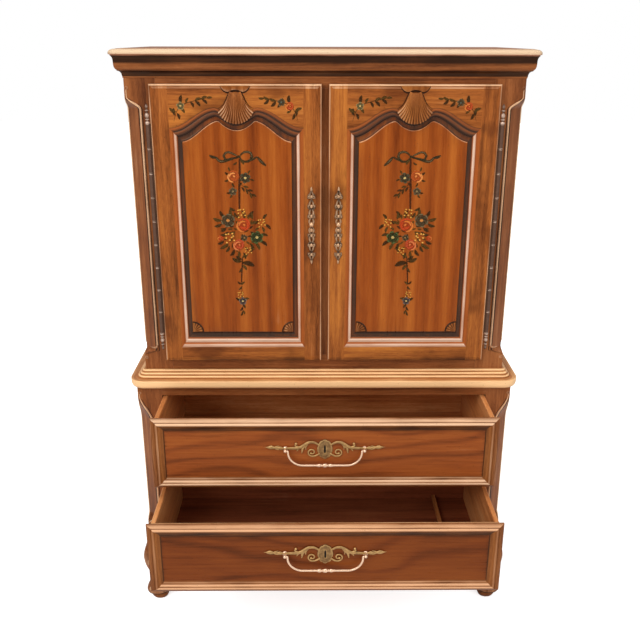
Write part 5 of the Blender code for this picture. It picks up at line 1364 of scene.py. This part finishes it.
def foot_outer(height):
    """How far a foot stands out beyond the case at a height.

    A swollen knee and a toe scroll are sine waves, the nip between them is a bell curve, and the pad
    under them is round.
    """
    knee = np.clip((KNEE_TOP - height) / (KNEE_TOP - ANKLE), 0, 1)
    toe = np.clip((ANKLE - height) / (ANKLE - PAD_TOP), 0, 1)
    pad = PAD_OUT * np.cos(np.pi * 0.70 * (height / PAD_TOP - 0.5))
    swell = KNEE_OUT * np.sin(np.pi * knee ** 0.85) * (height > ANKLE)
    swell = swell + TOE_OUT * np.sin(np.pi * 0.62 * toe ** 1.5) * (height <= ANKLE)
    swell = swell - ANKLE_NIP * np.exp(-((height - ANKLE) / 0.014) ** 2)
    return np.where(height > PAD_TOP, swell, pad)


def foot_shape(top, side, corner_x, front, back, square_back):
    """A scroll foot: rounded square rings from the floor to the case, pushed out by its profile."""
    height = np.concatenate((np.linspace(0.0, PAD_TOP, 12), np.linspace(PAD_TOP + PAD_JOINT, ANKLE, 24),
                             np.linspace(ANKLE + 0.003, KNEE_TOP, 34), [top]))
    outward = foot_outer(height)
    width = np.interp(height, (*FOOT_HEIGHTS, top), FOOT_WIDTHS)
    depth = np.interp(height, (*FOOT_HEIGHTS, top), FOOT_DEPTHS)
    outer_x = corner_x + outward
    inner_x = corner_x - width
    if square_back:
        near_y = np.full_like(height, front)
        far_y = np.full_like(height, back)
    else:
        near_y = front - outward
        far_y = front + depth
    angle = np.linspace(0, 2 * np.pi, 49)
    power = np.interp(height, (*SQUARE_HEIGHTS, top), SQUARENESS)[:, None]
    cosine = np.cos(angle)[None, :]
    sine = np.sin(angle)[None, :]
    scale = (np.abs(cosine) ** power + np.abs(sine) ** power) ** (-1 / power)
    across = (outer_x + inner_x)[:, None] / 2 + (outer_x - inner_x)[:, None] / 2 * cosine * scale
    deep = (near_y + far_y)[:, None] / 2 + (far_y - near_y)[:, None] / 2 * sine * scale
    points = np.stack((across, deep, np.broadcast_to(height[:, None], across.shape)), axis=-1)
    # Tone paints highlights on the swells and shade in the nip, with a dark line at the pad's joint
    tone = (outward / TOE_OUT - 0.50) * 0.7
    tone = np.where(np.abs(height - PAD_TOP) < 0.003, -0.9, tone)
    shape = grid(with_ends(points), with_end_values(tone)[:, None])
    return shape if side > 0 else shape.mirrored()


def foot_scrolls(side, corner_x, front):
    """Carved scroll lines on the knee and the toe, on a foot's front and outer faces."""
    shapes = []
    for height, size, inset in FOOT_SCROLLS:
        stand = float(foot_outer(np.array(height)))
        flat = volute((corner_x + stand - size - inset, height), -0.4, 1.35, size, 60)
        on_front = np.stack((flat[:, 0], np.full(60, front - stand + 0.0006), flat[:, 1]), axis=-1)
        shapes.append(tube(on_front, np.linspace(0.0022, 0.0012, 60), sides=10, tones=0.6))
    shape = joined(shapes)
    return shape if side > 0 else shape.mirrored()


def build_feet():
    """Four scroll feet, the front pair shaped all round and the back pair flat behind."""
    for name, side in SIDES:
        corner_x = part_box(f"lower_{name}_post")[1 if side > 0 else 0].x * side
        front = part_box(f"lower_{name}_post")[0].y
        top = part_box(f"front_{name}_foot")[1].z
        shape = foot_shape(top, side, corner_x, front, front, False)
        make_piece(f"front_{name}_scroll_foot", shape, finishes["case_upright"], "case",
                   [f"front_{name}_foot"])
        make_piece(f"front_{name}_foot_scrolls", foot_scrolls(side, corner_x, front),
                   finishes["case_upright"], "case")
        low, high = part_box(f"back_{name}_foot")
        shape = foot_shape(high.z, side, corner_x, low.y, high.y, True)
        make_piece(f"back_{name}_scroll_foot", shape, finishes["case_upright"], "case",
                   [f"back_{name}_foot"])


def rounded_plan(half, front, back, radius):
    """A board's outline from above, with round front corners, and the outward direction at each point."""
    turn = np.linspace(0, np.pi / 2, 10)
    left = np.stack((-half + radius - radius * np.cos(turn), front + radius - radius * np.sin(turn)), axis=-1)
    left_out = np.stack((-np.cos(turn), -np.sin(turn)), axis=-1)
    right = left[::-1] * (-1, 1)
    right_out = left_out[::-1] * (-1, 1)
    across = np.linspace(-half + radius, half - radius, 14)[1:-1]
    straight = np.stack((across, np.full(12, front)), axis=-1)
    straight_out = np.broadcast_to((0.0, -1.0), straight.shape)
    corners = np.array([(-half, back)]), np.array([(half, back)])
    base = np.concatenate((corners[0], left, straight, right, corners[1], corners[0]))
    out = np.concatenate(([(-1, 0)], left_out, straight_out, right_out, [(1, 0)], [(-1, 0)]))
    return base, out


def moulded_board(base, out, line, middle_y):
    """A board whose edge is a moulding: (offset, height, tone) stations carried round its outline.

    Its top and bottom close onto a short line in the board's middle.
    """
    line = np.asarray(line, float)
    flat = base[None] + line[:, 0, None, None] * out[None]
    points = np.concatenate((flat, np.broadcast_to(line[:, 1, None, None], (*flat.shape[:2], 1))), axis=-1)
    spine = points[[0, -1]].copy()
    spine[..., 0] *= 0.8
    spine[..., 1] = middle_y
    points = np.concatenate((spine[:1], points, spine[1:]))
    tone = with_end_values(line[:, 2])
    return grid(points, tone[:, None])


def hollow(low, high, tone):
    """A quarter hollow of a moulding between two stations: it climbs first and turns outwards."""
    turn = np.linspace(0, np.pi / 2, 8)
    return [(low[0] + (high[0] - low[0]) * (1 - math.cos(a)), low[1] + (high[1] - low[1]) * math.sin(a), tone)
            for a in turn]


def build_waist():
    """The waist board: a thick nose, round below, under three reeds. Its tones paint shade under the nose
    and highlights, with rubbing, on the nose and on the reeds' crests.
    """
    low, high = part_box("waist_board")
    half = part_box("lower_right_post")[1].x
    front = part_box("lower_right_post")[0].y
    nose = high.x - half
    split = low.z + WAIST_NOSE
    # Tones paint shade under the nose and at the upper case's foot, and highlights on the nose and reeds
    line = [(-0.003, low.z, -0.5), (0.0, low.z, -0.5)]
    for angle in np.linspace(0.1, np.pi / 2, 14):
        rise = WAIST_UNDERSIDE * (1 - math.cos(angle)) - WAIST_BELLY
        line.append((nose * math.sin(angle) ** 0.55, low.z + rise, 1.45 * math.sin(angle) ** 1.5 - 0.40))
    line += [(nose, split - 0.0050, 1.0), (nose, split - 0.0018, 0.85), (nose - 0.0006, split - 0.0006, 0.70)]
    line += [(nose - 0.0018, split, 0.45), (nose * 0.5, split, 0.30), (0.0, split, 0.15)]
    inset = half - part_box("upper_right_post")[1].x - 0.0015
    reed = (high.z - split) / WAIST_REEDS
    step = inset / (WAIST_REEDS + 0.5)
    line.append((-step * 0.35, split, 0.0))
    for index in range(WAIST_REEDS):
        foot = split + reed * index
        centre = -step * (index + 0.75)
        for angle in np.linspace(-np.pi / 2, np.pi / 2, 9):
            bulge = step * 0.55 * math.cos(angle)
            rise = reed * (0.5 + 0.44 * math.sin(angle))
            line.append((centre + bulge, foot + rise, 0.35 + 0.60 * math.cos(angle) ** 0.7))
        line.append((centre - step * 0.35, foot + reed * 0.985, 0.10))
    line.append((-inset, high.z, -0.5))
    base, out = rounded_plan(half, front, high.y, WAIST_CORNER)
    shape = moulded_board(base, out, line, (front + high.y) / 2)
    make_piece("waist_board_moulded", shape, finishes["waist_moulding"], "case", ["waist_board"])


def build_top():
    """The top board: a fillet in painted shade under a rubbed nose with painted highlights, round over at the
    top, and the face inside it.
    """
    low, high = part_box("top_board")
    reach = TOP_NOSE_REACH
    half = high.x - reach
    front = low.y + reach
    fillet = low.z + TOP_FILLET
    bend = low.z + TOP_BEND
    top = high.z - TOP_FACE_RISE
    # Low tones paint shade on the fillet under the nose; high tones paint rubbing and highlights on the nose
    line = [(reach - 0.016, low.z, -0.8), (reach - 0.005, low.z, -0.8), (reach - 0.0045, fillet, -0.35)]
    line += [(reach - 0.0012, fillet + 0.0008, 0.1), (reach, fillet + 0.0020, 0.6), (reach, bend, 0.85)]
    for angle in np.linspace(0.15, np.pi / 2, 12):
        line.append((reach * math.cos(angle), bend + (top - bend) * math.sin(angle), 0.9))
    line += [(0.0, top, 0.85), (-0.0028, top, 0.6)]
    base, out = rounded_plan(half, front, high.y, TOP_CORNER)
    shape = moulded_board(base, out, line, (front + high.y) / 2)
    make_piece("top_board_nosed", shape, finishes["rubbed_highlit_nose"], "case", ["top_board"])
    face = board((TOP_FACE_INSET - half, front + TOP_FACE_INSET, high.z - TOP_FACE_THICKNESS),
                 (half - TOP_FACE_INSET, high.y - TOP_FACE_INSET, high.z), -0.2)
    make_piece("top_board_face", face, finishes["top_face"], "case")


def build_cornice():
    """The cornice: a hollow, a round and a hollow under the top, both hollows dark with painted shade,
    mitred round the case.
    """
    low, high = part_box("cornice_moulding")
    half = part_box("upper_right_post")[1].x
    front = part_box("upper_right_post")[0].y
    reach = high.x - half
    tall = high.z - low.z
    line = [*CORNICE_FOOT, *hollow(*CORNICE_LOW_HOLLOW), *CORNICE_ROUND, *hollow(*CORNICE_TOP_HOLLOW)]
    line = np.array(line) * (reach * CORNICE_REACH, tall, 1.0) + (0.0, low.z, 0.0)
    base = np.array([(-half, high.y), (-half, front), (half, front), (half, high.y)])
    out = np.array([(-1.0, 0.0), (-1.0, -1.0), (1.0, -1.0), (1.0, 0.0)])
    face = base[None] + line[:, 0, None, None] * out[None]
    face = np.concatenate((face, np.broadcast_to(line[:, 1, None, None], (*face.shape[:2], 1))), axis=-1)
    wall = face.copy()
    wall[..., :2] = base[None] + SEAT * out[None]
    shapes = [grid(face, line[:, 2, None]), grid(wall, 0.0)]
    shapes += [grid(np.stack((face[:, end], wall[:, end]))) for end in (0, -1)]
    shapes += [grid(np.stack((face[row], wall[row]))) for row in (0, -1)]
    make_piece("cornice_carved", joined(shapes), finishes["case_moulding"], "case",
               ["cornice_moulding"])


def drawer_border_shape(low, high, origin):
    """The raised border of a drawer front, mitred at its corners: a slope, a bead and a stepped cove."""
    half = (high.x - low.x) / 2
    tall = high.z - low.z
    tops = -MITRED
    rings = []
    for bottom, side, top, depth, *tones in DRAWER_BORDER:
        rings.append((rectangle(half - side, bottom, tall - top, tops), depth, around(*tones)))
    return lofted(rings + rings[:1], origin)


def drawer_veneer_shape(low, high, origin):
    """The flat field of a drawer front, shadowed under the border's top."""
    half = (high.x - low.x) / 2
    tall = high.z - low.z
    tops = -MITRED
    bottom, side, top = [inset - 0.001 for inset in DRAWER_BORDER[-1][:3]]
    rings = [(rectangle(half - side, bottom, tall - top, tops), BORDER_DEPTH + 0.0007, -0.5)]
    for further, *tones in VENEER_EDGE:
        outline = rectangle(half - side - further, bottom + further, tall - top - further, tops)
        rings.append((outline, BORDER_DEPTH - 0.0001, around(*tones)))
    return lofted(rings, origin, closed_middle=tall / 2)


def escutcheon_shape(centre, face):
    """A lobed oval plate with a low dome: rings from the outline to an oval, and then the keyhole."""
    angle = np.linspace(0, 2 * np.pi, 97)
    lobes = 1 + 0.075 * np.abs(np.cos(4 * angle)) ** 0.6 - 0.05 * np.cos(2 * angle)
    half_x, half_z = ESCUTCHEON_HALF
    outline = np.stack((half_x * np.sin(angle) * lobes, -half_z * np.cos(angle) * lobes), axis=-1)
    half_x, half_z = ESCUTCHEON_OVAL
    oval = np.stack((half_x * np.sin(angle), KEYHOLE_RISE - half_z * np.cos(angle)), axis=-1)
    half_x, half_z = KEYHOLE
    squared = np.sign(np.cos(angle)) * np.abs(np.cos(angle)) ** 0.45
    keyhole = np.stack((half_x * np.sin(angle), KEYHOLE_RISE - half_z * squared), axis=-1)
    share = np.array((0.0, 0.0, 0.08, 0.20, 0.40, 0.60, 0.80, 1.0))[:, None, None]
    dome = outline[None] + (oval - outline)[None] * share
    flat = np.concatenate((dome, [keyhole * 1.05, keyhole, keyhole]))
    depth = np.array((0.0, 0.0014, 0.0024, 0.0027, 0.0029, 0.0032, 0.0034, 0.0035, 0.0035, 0.0030, 0.0006))
    # Tones paint a highlight on the raised rim and shade round the edge, in the keyhole and behind the plate
    tone = np.array((-0.6, -0.3, 0.35, 0.05, -0.15, -0.10, -0.10, -0.05, 0.10, -0.9, -1.0))
    y = np.broadcast_to(face - depth[:, None], flat.shape[:2])
    points = np.stack((centre[0] + flat[..., 0], y, centre[1] + flat[..., 1]), axis=-1)
    hole = np.stack((points[-1], np.broadcast_to(points[-1, :-1].mean(axis=0), points[-1].shape)))
    back = np.stack((points[0], np.broadcast_to((centre[0], face, centre[1]), points[0].shape)))
    return grid(points, tone[:, None]) + grid(hole, -1.0) + grid(back, -0.8)


def leaf_blade(knots, wide, y, tone=0.3):
    """A flat cast leaf along a curve, widest a third of the way and pointed at its tip."""
    count = 16
    share = np.linspace(0, 1, count)
    width = wide * (0.25 + 0.75 * bump_wave(0.15 + 0.85 * share ** 0.7))
    return tube(upright(smooth_line(knots, count), y), width, sides=10, flat=0.5, tones=tone)


def pull_arm_shapes(face):
    """Scrollwork on the right of an escutcheon: arm, volute, leaf, bud and spear, from the centre out."""
    edge = PULL_ARM_START
    post = POST_SPACING / 2
    y = face - 0.0026
    arm = [(edge, 0.0120), (edge + 0.006, 0.0165), (edge + 0.017, 0.0212), (edge + 0.030, 0.0200)]
    arm += [(edge + 0.041, 0.0125), (edge + 0.052, 0.0055), (edge + 0.068, 0.0030), (post, 0.0020)]
    arm_line = smooth_line(arm, 60)
    arm_thick = 0.0026 + 0.0022 * bump_wave(np.linspace(0.0, 0.9, 60))
    shapes = [tube(upright(arm_line, y), arm_thick, sides=10, flat=0.6, tones=0.15)]
    start = np.array([(edge - 0.002, -0.0130), (edge + 0.004, -0.0175), (edge + 0.012, -0.0215)])
    curl = volute((edge + 0.0200, -0.0100), -math.pi / 2, 1.20, 0.0120, 46)
    path = smooth_line(np.concatenate((start, curl[2::4])), 70)
    shapes.append(tube(upright(path, y), np.linspace(0.0026, 0.0020, 70), sides=10, flat=0.7, tones=0.25))
    # The ball at the volute's end is toned up as a painted highlight
    shapes.append(ball((path[-1, 0], y - 0.0006, path[-1, 1]), 0.0032, tone=0.7))
    for leaf, wide in PULL_LEAVES:
        shapes.append(leaf_blade([(edge + x, z) for x, z in leaf], wide, y))
    bud = [(edge + 0.052, 0.0050), (edge + 0.060, 0.0075), (edge + 0.0665, 0.0120), (edge + 0.0650, 0.0160)]
    shapes.append(tube(upright(smooth_line(bud, 20), y), np.linspace(0.0026, 0.0018, 20), sides=8, tones=0.3))
    shapes.append(ball((edge + 0.0640, y - 0.0004, 0.0170), 0.0036, tone=0.7))
    spear = [(post, 0.0020), (post + 0.012, 0.0028), (post + 0.024, 0.0040), (post + 0.040, 0.0052)]
    spear_line = smooth_line(spear + [(PULL_SPAN / 2, 0.0062)], 50)
    share = np.linspace(0, 1, 50)
    thick = 0.0022 + 0.0030 * bump_wave((share - 0.08) / 0.32) + 0.0034 * bump_wave((share - 0.48) / 0.40)
    thick = thick * (1 - 0.85 * half_wave((share - 0.80) / 0.20))
    shapes.append(tube(upright(spear_line, y), thick, sides=10, flat=0.55, tones=0.2))
    for place, rise in ((0.42, 0.0062), (0.74, 0.0054)):
        foot = spear_line[int(place * 49)]
        for up in (rise, -rise):
            barb = [(foot[0] + 0.008, foot[1]), (foot[0], foot[1] + up * 0.7)]
            barb.append((foot[0] - 0.006, foot[1] + up))
            shapes.append(leaf_blade(barb, 0.0020, y))
    return shapes


def pull_post_profile(reach):
    """A ball post from the plate out: a rosette, a neck and a ball, as (radius, depth, tone)."""
    line = [(0.0, 0.0, 0.0), (0.0072, 0.0, -0.3), (0.0072, 0.0012, 0.3), (0.0058, 0.0024, 0.4)]
    line += [(0.0034, 0.0034, -0.4), (0.0028, 0.0048, 0.0), (0.0028, reach - 0.0058, 0.2)]
    line.append((0.0036, reach - 0.0048, 0.6))
    # The ball's top tone paints a highlight on it
    for angle in np.linspace(-0.75, np.pi / 2, 9):
        line.append((BALL_RADIUS * math.cos(angle), reach + BALL_RADIUS * math.sin(angle), 1.0))
    return [(radius, -depth, tone) for radius, depth, tone in line]


def build_pull(level):
    """A drawer's pierced plate, its two ball posts and the bail that swings between them."""
    body = f"{level}_drawer"
    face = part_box(f"{level}_drawer_pull_plate")[1].y
    bail_low, bail_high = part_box(f"{level}_drawer_bail")
    axis_y = (bail_low.y + bail_high.y) / 2
    height = bail_high.z - BAIL_WIRE * 0.7
    arm = joined(pull_arm_shapes(face))
    plate = arm + arm.mirrored()
    plate.points = plate.points + (0.0, 0.0, height)
    plate = plate + escutcheon_shape((0.0, height - 0.001), face)
    make_piece(f"{level}_drawer_scroll_plate", plate, finishes["antique_brass"], body,
               [f"{level}_drawer_pull_plate"], sharp=60)
    profile = pull_post_profile(face - axis_y)
    posts = [turned(profile, (side * POST_SPACING / 2, face, height), "Y") for _, side in SIDES]
    make_piece(f"{level}_drawer_ball_posts", joined(posts), finishes["bright_brass"], body,
               sharp=60)
    make_piece(f"{level}_drawer_grip", bail_shape(axis_y, height, bail_high.x), finishes["bright_brass"],
               f"{level}_bail", [f"{level}_drawer_bail"], sharp=60)


def bail_shape(axis_y, height, pin_x):
    """A bail: pins at the ends, arms that sweep in to a straight grip, and five turned beads."""
    arm_x = POST_SPACING / 2 - BALL_RADIUS - BAIL_WIRE
    turn = np.linspace(0, np.pi / 2, 30)
    drop = BAIL_DROP * 0.90
    across = BAIL_FLAT + (arm_x - BAIL_FLAT) * np.cos(turn)
    sweep = np.stack((across, height - BAIL_DROP + drop - drop * np.sin(turn)), axis=-1)
    neck = [(arm_x + BAIL_WIRE, height), (arm_x + 0.0004, height - 0.0010), (arm_x, height - 0.0040)]
    grip = np.stack((np.linspace(BAIL_FLAT, 0, 121)[1:], np.full(120, height - BAIL_DROP)), axis=-1)
    half = np.concatenate(([(pin_x, height)], smooth_line(neck, 8), sweep, grip))
    line = np.concatenate((half, half[-2::-1] * (-1, 1)))
    thick = np.full(len(line), BAIL_WIRE)
    thick[:2] = thick[-2:] = BAIL_WIRE * 0.7
    on_grip = line[:, 1] < height - BAIL_DROP + 1e-6
    for centre, wide, long in BAIL_BEADS:
        away = np.abs(np.abs(line[:, 0]) - centre) / long
        swell = BAIL_WIRE + (wide - BAIL_WIRE) * np.sqrt(np.clip(1 - away ** 2, 0, 1))
        thick = np.where(on_grip, np.maximum(thick, swell), thick)
    # Tones rise with the wire's thickness, as painted highlights on the beads
    tones = 0.3 + (thick - BAIL_WIRE) * 200
    return tube(upright(line, axis_y), thick, sides=14, flat=0.74, tones=tones)


def build_drawer(level):
    """A drawer front's border, veneered field and body, and its pull."""
    body = f"{level}_drawer"
    node = f"{level}_drawer_front"
    low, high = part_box(node)
    origin = (0.0, low.y, low.z)
    border = drawer_border_shape(low, high, origin)
    front = make_piece(f"{level}_drawer_border", border, finishes[f"{level}_drawer_border"], body)
    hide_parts(node)
    inner = LIP_OVER_OPENING + 0.0030
    core = board((low.x + inner, low.y + BORDER_DEPTH + 0.0006, low.z + inner - 0.0027),
                 (high.x - inner, high.y, high.z - inner))
    make_piece(f"{level}_drawer_core", core, finishes["drawer_edge"], body)
    make_piece(f"{level}_drawer_veneer", drawer_veneer_shape(low, high, origin),
               finishes[f"{level}_drawer_veneer"], body)
    build_pull(level)


NODE_FINISHES = {
    "case_level": ("drawer_rail", "lower_top_rail", "upper_bottom_rail", "upper_top_rail", "front_apron"),
    "case_upright": ("lower_left_side", "lower_right_side", "upper_left_side", "upper_right_side",
                     "centre_stile"),
    "case_deep": ("left_apron", "right_apron"),
    "inner_level": ("back_apron", "lower_back", "upper_dust_panel", "lower_dust_panel", "upper_back",
                    "cabinet_floor", "lower_shelf", "upper_shelf", "lower_drawer_bottom",
                    "lower_drawer_back"),
    "drawer_side": ("upper_drawer_left_side", "upper_drawer_right_side", "lower_drawer_left_side",
                    "lower_drawer_right_side", "lower_drawer_divider"),
    # The upper drawer's bottom is in the paler drawer stock, as painted light lifting the shade inside the
    # drawer
    "drawer_level": ("upper_drawer_back", "upper_drawer_bottom"),
}


def finish_nodes():
    """Gives every node that stays its procedural finish."""
    for finish, names in NODE_FINISHES.items():
        for name in names:
            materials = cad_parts[name].data.materials
            materials.clear()
            materials.append(finishes[finish])


def build_stage():
    """Pale floor glowing for the camera, soft lamps and the camera at the photograph's angle."""
    bpy.ops.mesh.primitive_plane_add(size=30.0, location=(0.0, 0.0, 0.0))
    floor = bpy.context.active_object
    floor.name = "floor"
    surface = Finish("pale_floor")
    # The floor glows for the camera alone, as painted light: white far off, dimmer near the chest so that its
    # shadow shows
    seen = surface.node("ShaderNodeLightPath", None, None, "Is Camera Ray")
    x, y, _ = surface.place("Object")
    away = (x ** 2 + y ** 2).ease(0.8, 6.0)
    glow = surface.mix(away, (0.72, 0.72, 0.72, 1.0), (1.0, 1.0, 1.0, 1.0))
    surface.set(Base_Color=(0.9, 0.9, 0.9, 1.0), Roughness=0.9, Specular_IOR_Level=0.0)
    surface.set(Emission_Color=surface.mix(seen, (0.0, 0.0, 0.0, 1.0), glow), Emission_Strength=1.0)
    floor.data.materials.append(surface.material)
    world = bpy.data.worlds.new("studio")
    bpy.context.scene.world = world
    world.use_nodes = True
    nodes = world.node_tree.nodes
    links = world.node_tree.links
    rays = nodes.new("ShaderNodeLightPath")
    strength = nodes.new("ShaderNodeMapRange")
    strength.inputs["To Min"].default_value = 0.42
    strength.inputs["To Max"].default_value = 1.0
    links.new(rays.outputs["Is Camera Ray"], strength.inputs["Value"])
    sky = nodes["Background"]
    sky.inputs["Color"].default_value = (1.0, 1.0, 1.0, 1.0)
    links.new(strength.outputs[0], sky.inputs["Strength"])
    for name, place, size, power in LAMPS:
        data = bpy.data.lights.new(name, "AREA")
        data.shape = "SQUARE"
        data.size = size
        data.energy = power
        lamp = bpy.data.objects.new(name, data)
        bpy.context.scene.collection.objects.link(lamp)
        lamp.location = place
        away = Vector(place) - Vector(LAMP_AIM)
        lamp.rotation_euler = away.to_track_quat("Z", "Y").to_euler()
    data = bpy.data.cameras.new("camera")
    data.lens = CAMERA_LENS
    data.sensor_width = 36.0
    camera = bpy.data.objects.new("camera", data)
    bpy.context.scene.collection.objects.link(camera)
    turn = Matrix.Rotation(CAMERA_TURN, 4, "Z")
    pitch = Matrix.Rotation(math.pi / 2 + CAMERA_PITCH, 4, "X")
    roll = Matrix.Rotation(CAMERA_ROLL, 4, "Z")
    camera.matrix_world = Matrix.Translation(CAMERA_PLACE) @ turn @ pitch @ roll
    bpy.context.scene.camera = camera
    bpy.context.scene.view_settings.view_transform = "Standard"


for door_name, door_side in SIDES:
    build_door(door_name, door_side)
for drawer_level in ("upper", "lower"):
    build_drawer(drawer_level)
build_posts()
build_feet()
build_waist()
build_cornice()
build_top()
finish_nodes()
build_stage()
